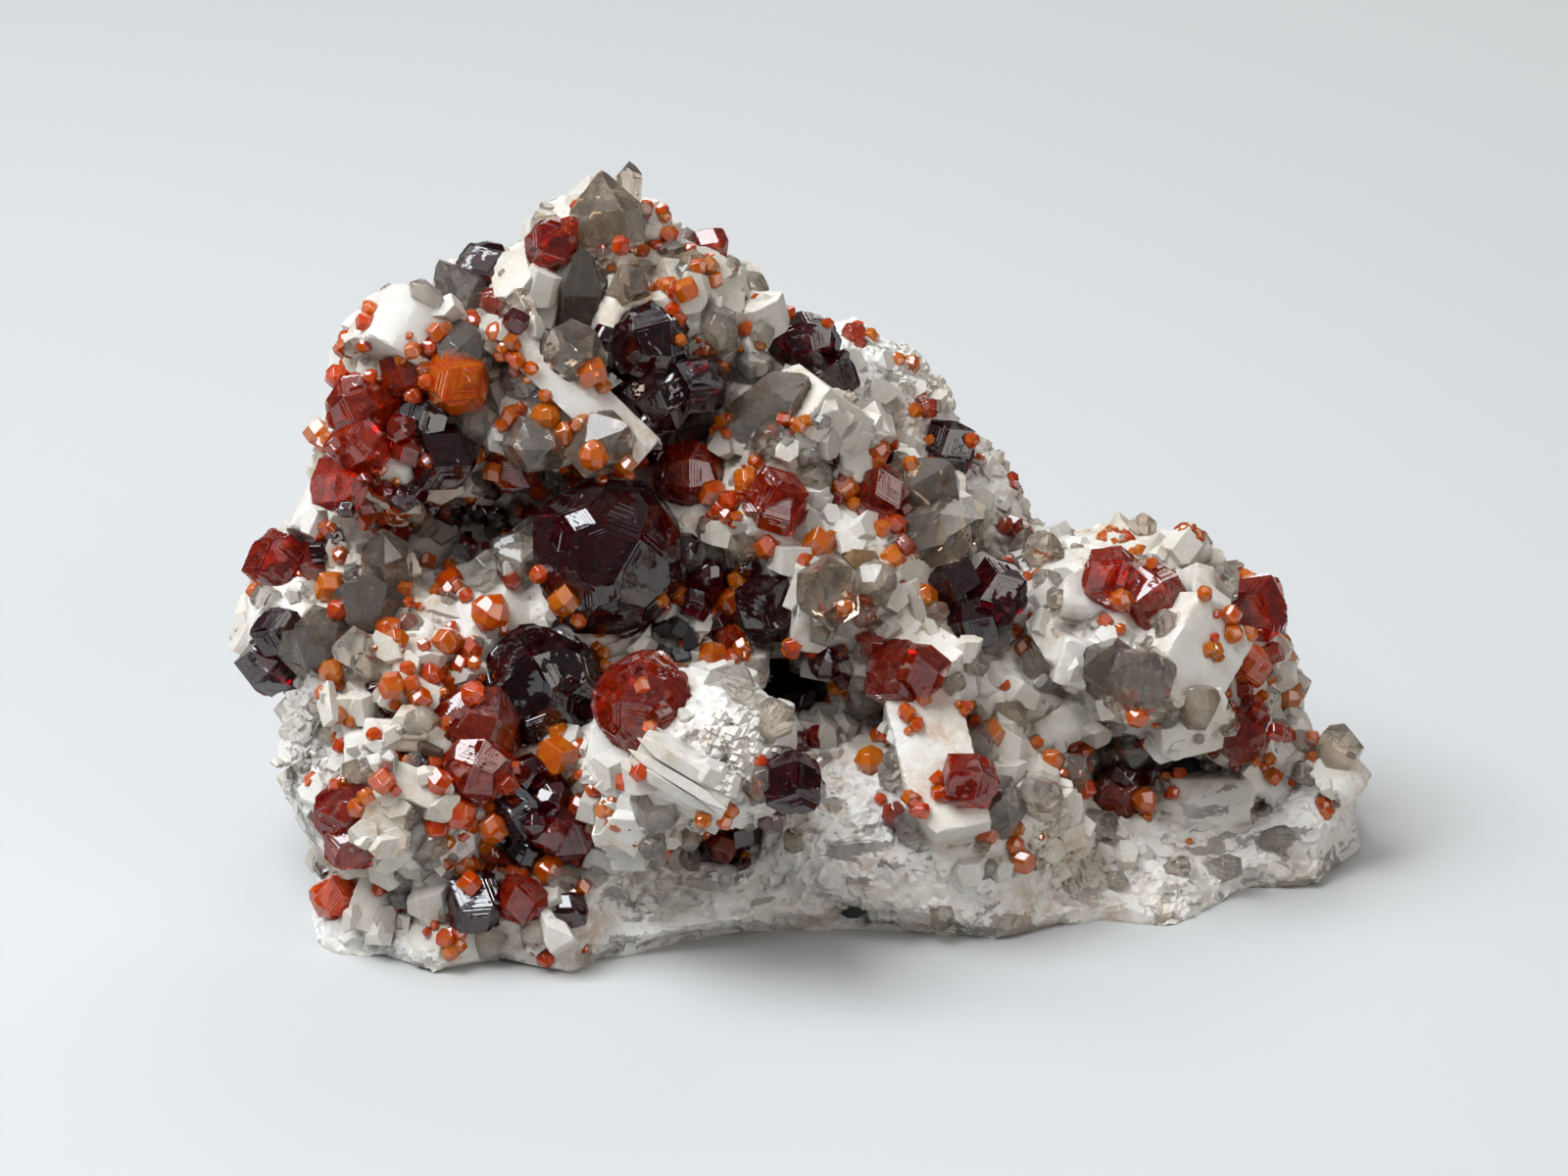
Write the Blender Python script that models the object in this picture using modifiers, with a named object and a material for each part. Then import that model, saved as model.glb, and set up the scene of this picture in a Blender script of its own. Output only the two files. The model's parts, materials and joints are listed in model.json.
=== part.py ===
"""A hand specimen of spessartine: red and orange garnets and smoky quartz on white feldspar.

The feldspar is one solid: a broken base, a rising massif with hollows, and blocky crystals grown out
of it. Each garnet, quartz point or grown-together cluster is a solid of its own, seated in a pocket
of the feldspar. Metres, +Z up, and the viewer of the reference photograph looks along +Y.
"""

import math
import random
from collections import namedtuple

import bmesh
import bpy
from mathutils import Matrix, Vector, noise
from mathutils.bvhtree import BVHTree

MM = 0.001

# How the photograph looks at the specimen. Pixels are those of its 1600 x 1200 frame.
PHOTO_CENTRE = (800.0, 600.0)
PIXELS_PER_MM = 11.4
VIEW_ELEVATION = math.radians(22.0)
VIEW_DISTANCE = 500.0 * MM
AIM = Vector((-1.3, 0.0, 27.0)) * MM
RIGHT = Vector((1.0, 0.0, 0.0))
UP = Vector((0.0, math.sin(VIEW_ELEVATION), math.cos(VIEW_ELEVATION)))
TOWARDS_VIEWER = Vector((0.0, -math.cos(VIEW_ELEVATION), math.sin(VIEW_ELEVATION)))

# The rock: the size of its fused skin's cells, its triangles before crystals are added, and the
# length and height of its slow swells and of its finer grain.
ROCK_VOXEL = 1.1 * MM
ROCK_TRIANGLES = 1300
SWELL_LENGTH = 9.0 * MM
SWELL_HEIGHT = 1.5 * MM
GRAIN_LENGTH = 2.6 * MM
GRAIN_HEIGHT = 0.55 * MM
GROUND = Vector((200.0, 200.0, 40.0)) * MM

# A feldspar crystal's corners are cut by this share of its shortest side, and some along an edge.
CORNER_CUT = (0.12, 0.30)
CORNER_SLOPE = 0.35
EDGE_CUT_CHANCE = 0.6

# Garnets: from which diameter they are of the large and of the middle kind, and how far the rhombic
# and the four-sided faces of each kind lie from the centre, for a radius of 1.
LARGE_GARNET = 7.5 * MM
MIDDLE_GARNET = 4.9 * MM
LARGE_GARNET_FACES = (1.02, 0.95)
MIDDLE_GARNET_FACES = (None, 0.96)
SMALL_GARNET_FACES = (0.94, None)

# Quartz: the angle between a point's end faces and its base, and how far out its smaller ones lie.
QUARTZ_END_SLOPE = math.radians(51.8)
QUARTZ_SMALL_END = 1.12

# Crystals stand with their centres proud of the rock by a share of the radius or width, overlap
# within a cluster by a share of their radii, and keep a gap to the pocket that each sits in.
GARNET_CLEARANCE = 0.22
QUARTZ_CLEARANCE = 0.1
CLUSTER_OVERLAP = 0.8
SEAT_GAP = 0.3 * MM

# How crystals are made and seated: the block they are cut from, the depths searched where a line of
# sight misses the rock, and the step by which they are moved forward.
CUTTING_BLOCK = 30.0 * MM
SEARCHED_DEPTHS = range(-28, 29)
FORWARD_STEP = 0.1 * MM
WELD_DISTANCE = 0.001 * MM
SEED = 7

# From the point that the depths below are measured from to the middle of the specimen's base.
MIDDLE = Vector((0.92, 1.45, 0.0)) * MM

Lump = namedtuple("Lump", "photo_x photo_y front_y width height depth")
Block = namedtuple("Block", "photo_x photo_y width height depth roll yaw pitch")
Break = namedtuple("Break", "x y z towards")

# Lumps of rock, in photo pixels and mm: where each is seen, how far forward it reaches, and its size.
LUMPS = [Lump(*row) for row in (
    # The massif at upper left, with its summit, its white shoulder and its right slope.
    (648, 312, 4, 20, 14, 22),
    (608, 258, 7, 12, 10, 18),
    (430, 362, 0, 15, 11, 24),
    (520, 335, 2, 18, 13, 24),
    (715, 325, 6, 12, 12, 20),
    (560, 405, -3, 20, 10, 22),
    (412, 440, -4, 14, 13, 22),
    (370, 490, -1, 9, 15, 24),
    (480, 470, 3, 20, 14, 20),
    # The left flank, down to the pointed shoulder of red garnets.
    (360, 560, -3, 12, 12, 26),
    (303, 625, -5, 9, 13, 20),
    (405, 640, -13, 20, 15, 30),
    (500, 620, -9, 16, 14, 26),
    (590, 600, -8, 18, 18, 26),
    # The foot at lower left.
    (435, 790, -22, 22, 18, 32),
    (465, 893, -22.5, 22, 15, 34),
    (372, 915, -21, 9, 9, 26),
    (345, 765, -14, 9, 17, 24),
    (565, 880, -23, 20, 18, 34),
    (560, 740, -15, 16, 16, 30),
    # The broken lump that stands out in front.
    (728, 768, -26, 14, 13, 20),
    (650, 795, -24, 12, 12, 22),
    # The middle mass and the ridge behind it.
    (680, 620, -7, 20, 16, 28),
    (680, 520, -3, 20, 14, 28),
    (850, 545, -7, 25, 18, 34),
    (780, 485, -4, 16, 12, 26),
    (900, 620, -9, 18, 14, 30),
    (795, 405, 2, 15, 11, 24),
    (888, 445, 13, 17, 15, 16),
    (985, 520, 12, 11, 12, 16),
    (855, 390, 12, 12, 9, 16),
    # The right mass.
    (1150, 645, -5, 25, 17, 28),
    (1255, 690, -2, 10, 16, 22),
    (1175, 588, 1, 12, 7, 20),
    (1060, 620, 0, 16, 10, 26),
    (1000, 700, -8, 16, 16, 30),
    # The base: its core, its front wall and its foot at far right.
    (800, 740, -2, 66, 26, 36),
    (800, 870, -19, 36, 14, 40),
    (690, 900, -22, 22, 13, 34),
    (875, 820, -18, 26, 20, 34),
    (985, 825, -17, 24, 22, 34),
    (980, 865, -18, 28, 14, 38),
    (1150, 880, -14.5, 24, 14, 34),
    (1290, 842, -7, 16, 11, 24),
    (1325, 810, -5, 9, 9, 20),
    # The body behind, which the photograph hides.
    (570, 470, 5, 42, 40, 27),
    (780, 565, 7, 46, 30, 26),
    (1145, 705, 3, 32, 20, 24),
    (740, 700, 4, 84, 26, 30),
)]

# Hollows, in the same terms.
HOLLOWS = [Lump(*row) for row in (
    # Under the brow, beside the white ridge, and round the front lump.
    (495, 530, -12, 10, 5.5, 14),
    (655, 448, -10, 6, 4.5, 18),
    (800, 690, -16, 8.0, 5.0, 14),
    (826, 745, -24, 3.5, 8.0, 14),
    (655, 655, -20, 8, 2.5, 10),
    # The dark slot above the broken block at right, and the cleft left of the right mass.
    (1150, 782, -20, 11, 3.2, 20),
    (1005, 660, -18, 2.5, 5.0, 12),
    # The shallow arch that the front stands on.
    (860, 1000, -36, 44, 8.0, 22),
)]

# The breaks that freed the specimen, behind and at its sides: a point in mm, and where each faces.
BREAKS = [Break(*row) for row in (
    (0, 29.0, 20, (0.08, 1.0, 0.14)),
    (-25, 26.5, 42, (-0.2, 1.0, 0.4)),
    (-44, 12.0, 20, (-1.0, 0.7, 0.1)),
    (38, 20.0, 8, (0.6, 1.0, 0.25)),
    (14, 27.0, 32, (0.4, 1.0, 0.6)),
    (-30, 24.0, 8, (-0.35, 1.0, -0.35)),
)]

# Feldspar crystals: where each is seen, its size in mm, and its roll, yaw and pitch in degrees.
BLOCKS = [Block(*row) for row in (
    # On the massif.
    (425, 345, 9.5, 6.5, 8, -28, 20, 15),
    (585, 398, 17, 4.2, 6, -43, 5, 20),
    (545, 288, 5.2, 5.6, 5, 8, -15, 10),
    (621, 303, 2.4, 7.5, 4, -4, 10, 0),
    (672, 310, 7.5, 2.6, 4, 14, 0, 10),
    (722, 293, 4.5, 4.2, 4, -28, 20, 0),
    (640, 232, 6.5, 3.0, 5, 6, 0, 20),
    (768, 335, 2.6, 6.5, 4, -34, 12, 0),
    # On the middle mass.
    (845, 425, 10.5, 4.5, 7, -34, 12, 25),
    (757, 440, 4.6, 3.4, 4, -12, -10, 15),
    (815, 452, 4.8, 3.4, 4, 30, 10, 10),
    (868, 475, 3.6, 4.6, 4, -8, 15, 0),
    (826, 618, 3.2, 7.0, 5, -12, 25, 10),
    (948, 690, 5.0, 8.0, 7, 14, 28, 10),
    (955, 792, 6.6, 13.0, 10, 13, -10, 0),
    # On the right mass.
    (1078, 733, 5.8, 3.3, 5, 19, 14, 20),
    (1098, 675, 3.6, 4.3, 4, -18, 20, 10),
    (1103, 612, 4.2, 4.6, 5, -8, 22, 10),
    (1075, 648, 3.8, 4.4, 4, 30, 10, 0),
    (1205, 672, 7.5, 9.5, 7, -32, 16, 10),
    (1224, 612, 4.0, 5.2, 5, -6, 12, 10),
    (1213, 735, 7.0, 4.4, 5, 4, 12, 14),
    (1198, 575, 6.0, 3.2, 5, 34, 12, 10),
    (1222, 812, 11.5, 5.2, 8, -6, 6, 10),
    (1305, 778, 7.5, 5.4, 6, 40, 14, 12),
    (1352, 795, 4.6, 4.6, 6, -36, 20, 10),
    # On the left flank and foot.
    (620, 768, 3.6, 6.4, 5, -14, 20, 10),
    (372, 777, 3.2, 5.6, 4, 4, 16, 0),
    (420, 752, 8.5, 2.6, 5, -8, 8, 16),
    (424, 803, 6.6, 3.0, 4, -22, 10, 10),
    (388, 842, 3.8, 4.6, 4, -14, 15, 0),
    (384, 915, 3.6, 6.5, 4, -22, 14, 0),
    (440, 905, 4.0, 5.4, 4, 20, 15, 10),
    (493, 688, 5.6, 3.0, 5, -26, 10, 16),
    (418, 706, 5.0, 3.4, 4, -28, 12, 12),
    (360, 724, 4.0, 4.6, 4, 8, 18, 10),
    (310, 745, 3.0, 6.5, 5, -12, 18, 0),
    (395, 588, 5.2, 2.6, 4, 28, 10, 12),
    (438, 560, 4.4, 4.0, 4, -30, 16, 10),
    (640, 664, 4.4, 3.0, 4, 18, 10, 10),
    (693, 632, 4.6, 3.0, 4, -26, 16, 10),
    (745, 672, 4.8, 3.6, 6, -10, 14, 16),
    (700, 790, 9.0, 4.6, 7, -27, 12, 10),
    (770, 775, 5.0, 6.0, 7, 20, -10, 0),
    (324, 528, 4.0, 4.6, 6, -24, 16, 0),
)]

# Garnets, grouped as they grew together: node name, tint, then photo x, photo y, diameter in mm.
GARNETS = {
    "garnet_largest": ("dark", ((622, 568, 12.8),)),
    "garnet_black_red": ("dark", ((551, 702, 10.2),)),
    "garnet_front": ("red", ((656, 720, 7.9),)),
    "garnet_pair_left": ("red", ((487, 744, 7.0), (487, 786, 5.4))),
    "garnets_upper": ("dark", ((660, 352, 6.6), (672, 402, 5.6), (712, 392, 4.2))),
    "garnet_crimson": ("red", ((705, 485, 5.2),)),
    "garnet_scarlet": ("red", ((792, 511, 4.4),)),
    "garnets_middle": ("red", ((900, 503, 3.6), (893, 532, 4.0))),
    "garnets_facing": ("dark", ((975, 602, 4.6), (1017, 603, 4.2), (988, 632, 4.6))),
    "garnet_round": ("red", ((917, 688, 4.9), (939, 684, 3.6))),
    "garnet_shaded": ("dark", ((786, 621, 4.8),)),
    "garnet_ledge": ("dark", ((799, 690, 3.8),)),
    "garnets_right_top": ("red", ((1175, 608, 4.6), (1136, 590, 4.4))),
    "garnet_far_right": ("red", ((1279, 623, 4.8),)),
    "garnet_right_orange": ("orange", ((1271, 679, 3.2),)),
    "garnet_right_low": ("red", ((1268, 746, 4.2),)),
    "garnets_left_edge": ("red", ((284, 575, 4.4), (322, 588, 4.6), (308, 614, 3.8))),
    "garnets_left_low": ("dark", ((276, 676, 4.2), (285, 648, 3.6))),
    "garnets_shoulder": ("red", ((369, 418, 5.2), (368, 455, 4.4), (346, 494, 3.8))),
    "garnets_brow": ("red", ((417, 385, 3.8), (437, 360, 3.4))),
    "garnet_brow_orange": ("orange", ((467, 390, 4.4),)),
    "garnets_under_brow": ("dark", ((452, 466, 4.8), (430, 432, 3.8))),
    "garnet_hollow_rim": ("red", ((524, 474, 4.0),)),
    "garnets_below": ("red", ((580, 842, 5.8), (556, 806, 3.6))),
    "garnet_dark_below": ("dark", ((530, 828, 5.4),)),
    "garnets_apron": ("dark", ((732, 856, 4.2), (768, 842, 4.0))),
    "garnet_under_lump": ("dark", ((808, 798, 4.2),)),
    "garnets_lower_left": ("red", ((352, 828, 4.4), (358, 860, 3.6))),
    "garnet_lantern": ("orange", ((342, 917, 2.9),)),
    "garnet_foot": ("dark", ((486, 922, 4.2),)),
    "garnet_foot_right": ("red", ((532, 918, 3.2),)),
    "garnet_ruby": ("red", ((988, 797, 3.8),)),
    "garnets_back": ("dark", ((822, 352, 5.0), (845, 385, 3.8))),
    "garnet_back_right": ("dark", ((968, 456, 3.8),)),
    "garnet_crest": ("dark", ((494, 278, 4.2),)),
    "garnet_summit": ("red", ((564, 250, 3.6),)),
    "garnet_slot": ("red", ((1137, 815, 3.6),)),
}

# How the large garnets lie: where one of their four-sided corners points, as rightwards, upwards and
# towards the viewer, and the angle of one of its edges in the picture, in degrees.
GARNET_POSES = {
    "garnet_largest": ((0.36, 0.19, 0.91), 156),
    "garnet_black_red": ((-0.05, 0.45, 0.89), 120),
    "garnet_front": ((-0.35, 0.10, 0.93), 80),
}

# Quartz points: node name, photo x, photo y, width, length in mm, then where each points, as
# rightwards, upwards and towards the viewer.
QUARTZ = {
    "quartz_brow": (474, 358, 4.8, 6.0, (0.5, 0.5, 0.9)),
    "quartz_upper": (580, 356, 4.2, 6.0, (-0.3, 0.5, 0.9)),
    "quartz_bright": (591, 290, 4.8, 7.0, (0.1, 0.8, 0.6)),
    "quartz_crest": (468, 300, 4.4, 6.0, (-0.5, 0.9, 0.2)),
    "quartz_summit": (618, 214, 5.0, 6.0, (-0.1, 1.0, 0.2)),
    "quartz_spire": (640, 205, 1.7, 6.2, (0.05, 1.0, 0.0)),
    "quartz_overhang": (552, 452, 4.2, 5.6, (0.4, -0.1, 0.8)),
    "quartz_notch": (620, 448, 4.0, 5.6, (0.5, 0.3, 0.7)),
    "quartz_twin_upper": (945, 500, 4.6, 7.5, (0.5, 0.6, 0.7)),
    "quartz_twin_lower": (958, 542, 4.6, 8.0, (0.9, 0.25, 0.4)),
    "quartz_leaning": (790, 412, 3.6, 7.5, (0.8, 0.6, 0.5)),
    "quartz_middle": (842, 598, 4.2, 5.6, (-0.2, 0.4, 0.9)),
    "quartz_shining": (1166, 690, 4.8, 6.6, (0.1, 0.55, 0.8)),
    "quartz_smoky": (1133, 680, 3.8, 6.0, (-0.1, 0.4, 0.8)),
    "quartz_domed": (1014, 822, 4.8, 5.6, (0.2, 0.2, 1.0)),
    "quartz_column": (394, 572, 3.4, 5.6, (-0.1, 0.9, 0.6)),
    "quartz_left": (380, 622, 4.6, 8.5, (-0.6, 0.4, 0.7)),
    "quartz_left_low": (330, 660, 4.4, 7.0, (-0.6, 0.5, 0.7)),
}


def view_ray(photo_x, photo_y):
    """Where the viewer's eye is, and its direction to a point of the photograph."""
    across = (photo_x - PHOTO_CENTRE[0]) / PIXELS_PER_MM * MM
    upwards = (PHOTO_CENTRE[1] - photo_y) / PIXELS_PER_MM * MM
    eye = AIM + TOWARDS_VIEWER * VIEW_DISTANCE
    direction = RIGHT * across + UP * upwards - TOWARDS_VIEWER * VIEW_DISTANCE
    return eye, direction.normalized()


def seen_at(photo_x, photo_y, y):
    """The point at depth y that the photograph shows at a pixel."""
    eye, direction = view_ray(photo_x, photo_y)
    return eye + direction * ((y - eye.y) / direction.y)


def new_object(name, mesh_data, collection):
    """A new object with the mesh, in the collection."""
    made = bpy.data.objects.new(name, mesh_data)
    collection.objects.link(made)
    return made


def to_mesh(name, shape):
    """A bmesh written to a new mesh."""
    data = bpy.data.meshes.new(name)
    shape.to_mesh(data)
    shape.free()
    return data


def evaluated(target):
    """The object's mesh with its modifiers applied."""
    graph = bpy.context.evaluated_depsgraph_get()
    return bpy.data.meshes.new_from_object(target.evaluated_get(graph))


def apply_modifiers(target):
    """Replaces the object's mesh by its evaluated one."""
    bpy.context.view_layer.update()
    data = evaluated(target)
    target.modifiers.clear()
    target.data = data


def cut_crystal(planes):
    """A crystal: a block trimmed by each face plane, given as (outward normal, distance)."""
    shape = bmesh.new()
    bmesh.ops.create_cube(shape, size=CUTTING_BLOCK / MM)
    for direction, distance in planes:
        normal = Vector(direction).normalized()
        everything = shape.verts[:] + shape.edges[:] + shape.faces[:]
        cut = bmesh.ops.bisect_plane(
            shape, geom=everything, dist=1e-5, plane_co=normal * distance / MM, plane_no=normal,
            clear_outer=True,
        )
        rim = [item for item in cut["geom_cut"] if isinstance(item, bmesh.types.BMEdge)]
        if rim:
            bmesh.ops.contextual_create(shape, geom=rim)
    bmesh.ops.recalc_face_normals(shape, faces=shape.faces[:])
    bmesh.ops.scale(shape, vec=(MM,) * 3, verts=shape.verts[:])
    return shape


def signed_permutations(indices):
    """The normals of every face of a cubic crystal form, from its Miller indices."""
    faces = set()
    a, b, c = indices
    for order in ((a, b, c), (a, c, b), (b, a, c), (b, c, a), (c, a, b), (c, b, a)):
        for signs in range(8):
            faces.add(tuple(v if not signs >> axis & 1 or v == 0 else -v for axis, v in enumerate(order)))
    return sorted(faces)


DODECAHEDRON = signed_permutations((1, 1, 0))
TRAPEZOHEDRON = signed_permutations((2, 1, 1))


def garnet_planes(radius):
    """A garnet's faces: the larger it is, the more of them it shows."""
    if radius * 2 > LARGE_GARNET:
        rhombic, trapezoid = LARGE_GARNET_FACES
    elif radius * 2 > MIDDLE_GARNET:
        rhombic, trapezoid = MIDDLE_GARNET_FACES
    else:
        rhombic, trapezoid = SMALL_GARNET_FACES
    planes = [(face, rhombic) for face in DODECAHEDRON if rhombic]
    return planes + [(face, trapezoid) for face in TRAPEZOHEDRON if trapezoid]


def quartz_planes(width, length, gap):
    """A six-sided prism along +Z, three of whose end faces are the larger, all moved out by a gap."""
    planes = []
    slope = QUARTZ_END_SLOPE
    for side in range(6):
        turn = math.radians(60 * side + 30)
        planes.append(((math.cos(turn), math.sin(turn), 0), width / 2 + gap))
        facing = (math.cos(turn) * math.sin(slope), math.sin(turn) * math.sin(slope), math.cos(slope))
        apex = length / 2 * (1.0 if side % 2 else QUARTZ_SMALL_END)
        planes.append((facing, apex * math.cos(slope) + gap))
    planes.append(((0, 0, -1), length / 2 + gap))
    return planes


def feldspar_planes(width, height, depth, rng):
    """A stout block with two or three of its corners cut by sloping faces."""
    half = (width / 2, height / 2, depth / 2)
    planes = []
    for axis in range(3):
        for sign in (-1, 1):
            face = [0.0, 0.0, 0.0]
            face[axis] = sign
            planes.append((face, half[axis]))
    for _ in range(rng.choice((2, 3))):
        corner = Vector([rng.choice((-1, 1)) * reach for reach in half])
        face = Vector([math.copysign(rng.uniform(CORNER_SLOPE, 1.0), side) for side in corner])
        if rng.random() < EDGE_CUT_CHANCE:
            face[rng.randrange(3)] = 0.0
        face.normalize()
        cut = rng.uniform(*CORNER_CUT) * min(width, height, depth)
        planes.append((face, face.dot(corner) - cut))
    return planes


def garnet_shape(radius, gap, rotation, centre):
    """A garnet, or with a gap the room for it."""
    planes = [(face, reach * (radius + gap)) for face, reach in garnet_planes(radius)]
    return turned(cut_crystal(planes), rotation, centre)


def quartz_shape(width, length, gap, rotation, centre):
    """A quartz point, or with a gap the room for it."""
    return turned(cut_crystal(quartz_planes(width, length, gap)), rotation, centre)


def turned(shape, rotation, centre):
    """The bmesh, turned and moved to its place."""
    bmesh.ops.transform(shape, matrix=Matrix.Translation(centre) @ rotation.to_4x4(), verts=shape.verts[:])
    return shape


def joined(shapes):
    """Several bmeshes as one, each still a closed body of its own."""
    whole = bmesh.new()
    for shape in shapes:
        part = bpy.data.meshes.new("joining")
        shape.to_mesh(part)
        shape.free()
        whole.from_mesh(part)
        bpy.data.meshes.remove(part)
    return whole


def ellipsoid(photo_x, photo_y, front_y, width, height, depth):
    """A many-sided lump whose front just reaches a depth, where the photograph shows it."""
    shape = bmesh.new()
    bmesh.ops.create_icosphere(shape, subdivisions=3, radius=0.5)
    centre = seen_at(photo_x, photo_y, (front_y + depth / 2) * MM)
    size = Matrix.Diagonal((width * MM, depth * MM, height * MM))
    return turned(shape, size, centre)


def boolean(target, cutter, operation, overlapping=False):
    """Joins or cuts, and applies the result."""
    modifier = target.modifiers.new(operation.lower(), "BOOLEAN")
    modifier.operation = operation
    modifier.object = cutter
    modifier.solver = "EXACT"
    modifier.use_self = overlapping
    apply_modifiers(target)


def keep_largest_body(target):
    """Drops crumbs that a cut has left loose."""
    shape = bmesh.new()
    shape.from_mesh(target.data)
    bmesh.ops.remove_doubles(shape, verts=shape.verts[:], dist=WELD_DISTANCE)
    reached = set()
    bodies = []
    for start in shape.verts:
        if start in reached:
            continue
        reached.add(start)
        body = [start]
        for vertex in body:
            neighbours = [edge.other_vert(vertex) for edge in vertex.link_edges]
            fresh = [other for other in neighbours if other not in reached]
            reached.update(fresh)
            body.extend(fresh)
        bodies.append(body)
    bodies.sort(key=len)
    loose = [vertex for body in bodies[:-1] for vertex in body]
    bmesh.ops.delete(shape, geom=loose, context="VERTS")
    shape.to_mesh(target.data)
    shape.free()


def roughen(target):
    """Moves the surface by slow swells and a finer broken grain."""
    shape = bmesh.new()
    shape.from_mesh(target.data)
    shape.normal_update()
    for vertex in shape.verts:
        swell = noise.fractal(vertex.co / SWELL_LENGTH, 1.0, 2.0, 3)
        grain = noise.noise(vertex.co / GRAIN_LENGTH)
        vertex.co += vertex.normal * (swell * SWELL_HEIGHT + grain * GRAIN_HEIGHT)
    shape.to_mesh(target.data)
    shape.free()


def fuse(target):
    """Makes one skin of everything in the mesh."""
    modifier = target.modifiers.new("fuse", "REMESH")
    modifier.mode = "VOXEL"
    modifier.voxel_size = ROCK_VOXEL
    apply_modifiers(target)


def break_off(target):
    """Takes off what lies beyond each break."""
    shape = bmesh.new()
    shape.from_mesh(target.data)
    for place in BREAKS:
        everything = shape.verts[:] + shape.edges[:] + shape.faces[:]
        cut = bmesh.ops.bisect_plane(
            shape, geom=everything, dist=WELD_DISTANCE, plane_co=Vector(place[:3]) * MM,
            plane_no=Vector(place.towards).normalized(), clear_outer=True,
        )
        rim = [item for item in cut["geom_cut"] if isinstance(item, bmesh.types.BMEdge)]
        bmesh.ops.holes_fill(shape, edges=rim)
    shape.to_mesh(target.data)
    shape.free()


def build_rock(collection, helpers):
    """The broken feldspar body: lumps fused, broken off behind, roughened and hollowed."""
    lumps = joined([ellipsoid(*lump) for lump in LUMPS])
    rock = new_object("feldspar", to_mesh("feldspar", lumps), collection)
    fuse(rock)
    break_off(rock)
    fuse(rock)
    roughen(rock)
    hollows = joined([ellipsoid(*hollow) for hollow in HOLLOWS])
    cutter = new_object("hollows", to_mesh("hollows", hollows), helpers)
    boolean(rock, cutter, "DIFFERENCE", overlapping=True)
    fuse(rock)
    thin = rock.modifiers.new("thin", "DECIMATE")
    thin.ratio = ROCK_TRIANGLES / (2 * len(rock.data.polygons))
    apply_modifiers(rock)
    return rock


def cut_flat(rock, helpers):
    """Cuts the rock off at the level that it stands on."""
    ground = bmesh.new()
    bmesh.ops.create_cube(ground, size=1.0)
    bmesh.ops.scale(ground, vec=GROUND, verts=ground.verts[:])
    bmesh.ops.translate(ground, vec=Vector((0.0, 0.0, -GROUND.z / 2)), verts=ground.verts[:])
    boolean(rock, new_object("ground", to_mesh("ground", ground), helpers), "DIFFERENCE")
    keep_largest_body(rock)


class Surface:
    """What the eye meets first, for seating crystals on it."""

    def __init__(self, target):
        shape = bmesh.new()
        shape.from_mesh(target.data)
        self.tree = BVHTree.FromBMesh(shape)
        shape.free()

    def proud(self, photo_x, photo_y, clearance):
        """The point on a pixel's ray, in front of the rock, that clears it by a distance."""
        point, direction = self.under(photo_x, photo_y)
        while self.tree.find_nearest(point)[3] < clearance:
            point = point - direction * FORWARD_STEP
        return point

    def facing(self, point):
        """A frame that looks half along the rock's own slope and half at the viewer."""
        slope = self.tree.find_nearest(point)[1]
        out = (slope + TOWARDS_VIEWER).normalized()
        across = (RIGHT - out * RIGHT.dot(out)).normalized()
        return Matrix((across, out.cross(across), out)).transposed()

    def under(self, photo_x, photo_y):
        """Where the ray through a pixel meets the rock, or passes closest to it, and its direction."""
        eye, direction = view_ray(photo_x, photo_y)
        found = self.tree.ray_cast(eye, direction)[0]
        if not found:
            passing = [seen_at(photo_x, photo_y, depth * MM) for depth in SEARCHED_DEPTHS]
            found = min(passing, key=lambda point: self.tree.find_nearest(point)[3])
        return found, direction


def tilted(frame, roll, yaw, pitch):
    """The frame after a roll about its own outward axis, then a yaw, then a pitch."""
    turn = Matrix.Rotation(math.radians(pitch), 3, "X") @ Matrix.Rotation(math.radians(yaw), 3, "Y")
    return frame @ turn @ Matrix.Rotation(math.radians(roll), 3, "Z")


def add_blocks(rock, surface, helpers):
    """Joins the blocky feldspar crystals to the rock."""
    rng = random.Random(SEED)
    shapes = []
    for photo_x, photo_y, width, height, depth, roll, yaw, pitch in BLOCKS:
        found = surface.under(photo_x, photo_y)[0]
        shape = cut_crystal(feldspar_planes(width * MM, height * MM, depth * MM, rng))
        shapes.append(turned(shape, tilted(surface.facing(found), roll, yaw, pitch), found))
    blocks = new_object("blocks", to_mesh("blocks", joined(shapes)), helpers)
    boolean(rock, blocks, "UNION", overlapping=True)
    keep_largest_body(rock)


def leaned(centre, radius, direction, placed):
    """Slides a garnet along the line of sight until it meets the nearest of its cluster."""
    if not placed:
        return centre
    other, reach = min(placed, key=lambda near: (near[0] - centre).length - near[1])
    if (other - centre).length < CLUSTER_OVERLAP * (radius + reach):
        return centre
    return centre + direction * direction.dot(other - centre)


def random_turn(rng):
    """A turn by any angle about any axis."""
    axis = Vector([rng.gauss(0, 1) for _ in range(3)]).normalized()
    return Matrix.Rotation(rng.uniform(0, math.tau), 3, axis)


def in_view(direction):
    """A direction given as rightwards, upwards and towards the viewer, in the model's axes."""
    return (RIGHT * direction[0] + UP * direction[1] + TOWARDS_VIEWER * direction[2]).normalized()


def corner_turn(corner, edge_angle):
    """Turns a garnet so that a four-sided corner points one way and its edge lies at an angle."""
    out = in_view(corner)
    angle = math.radians(edge_angle)
    edge = RIGHT * math.cos(angle) + UP * math.sin(angle)
    along = (edge - out * edge.dot(out)).normalized()
    return Matrix((along, out.cross(along), out)).transposed()


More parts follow.
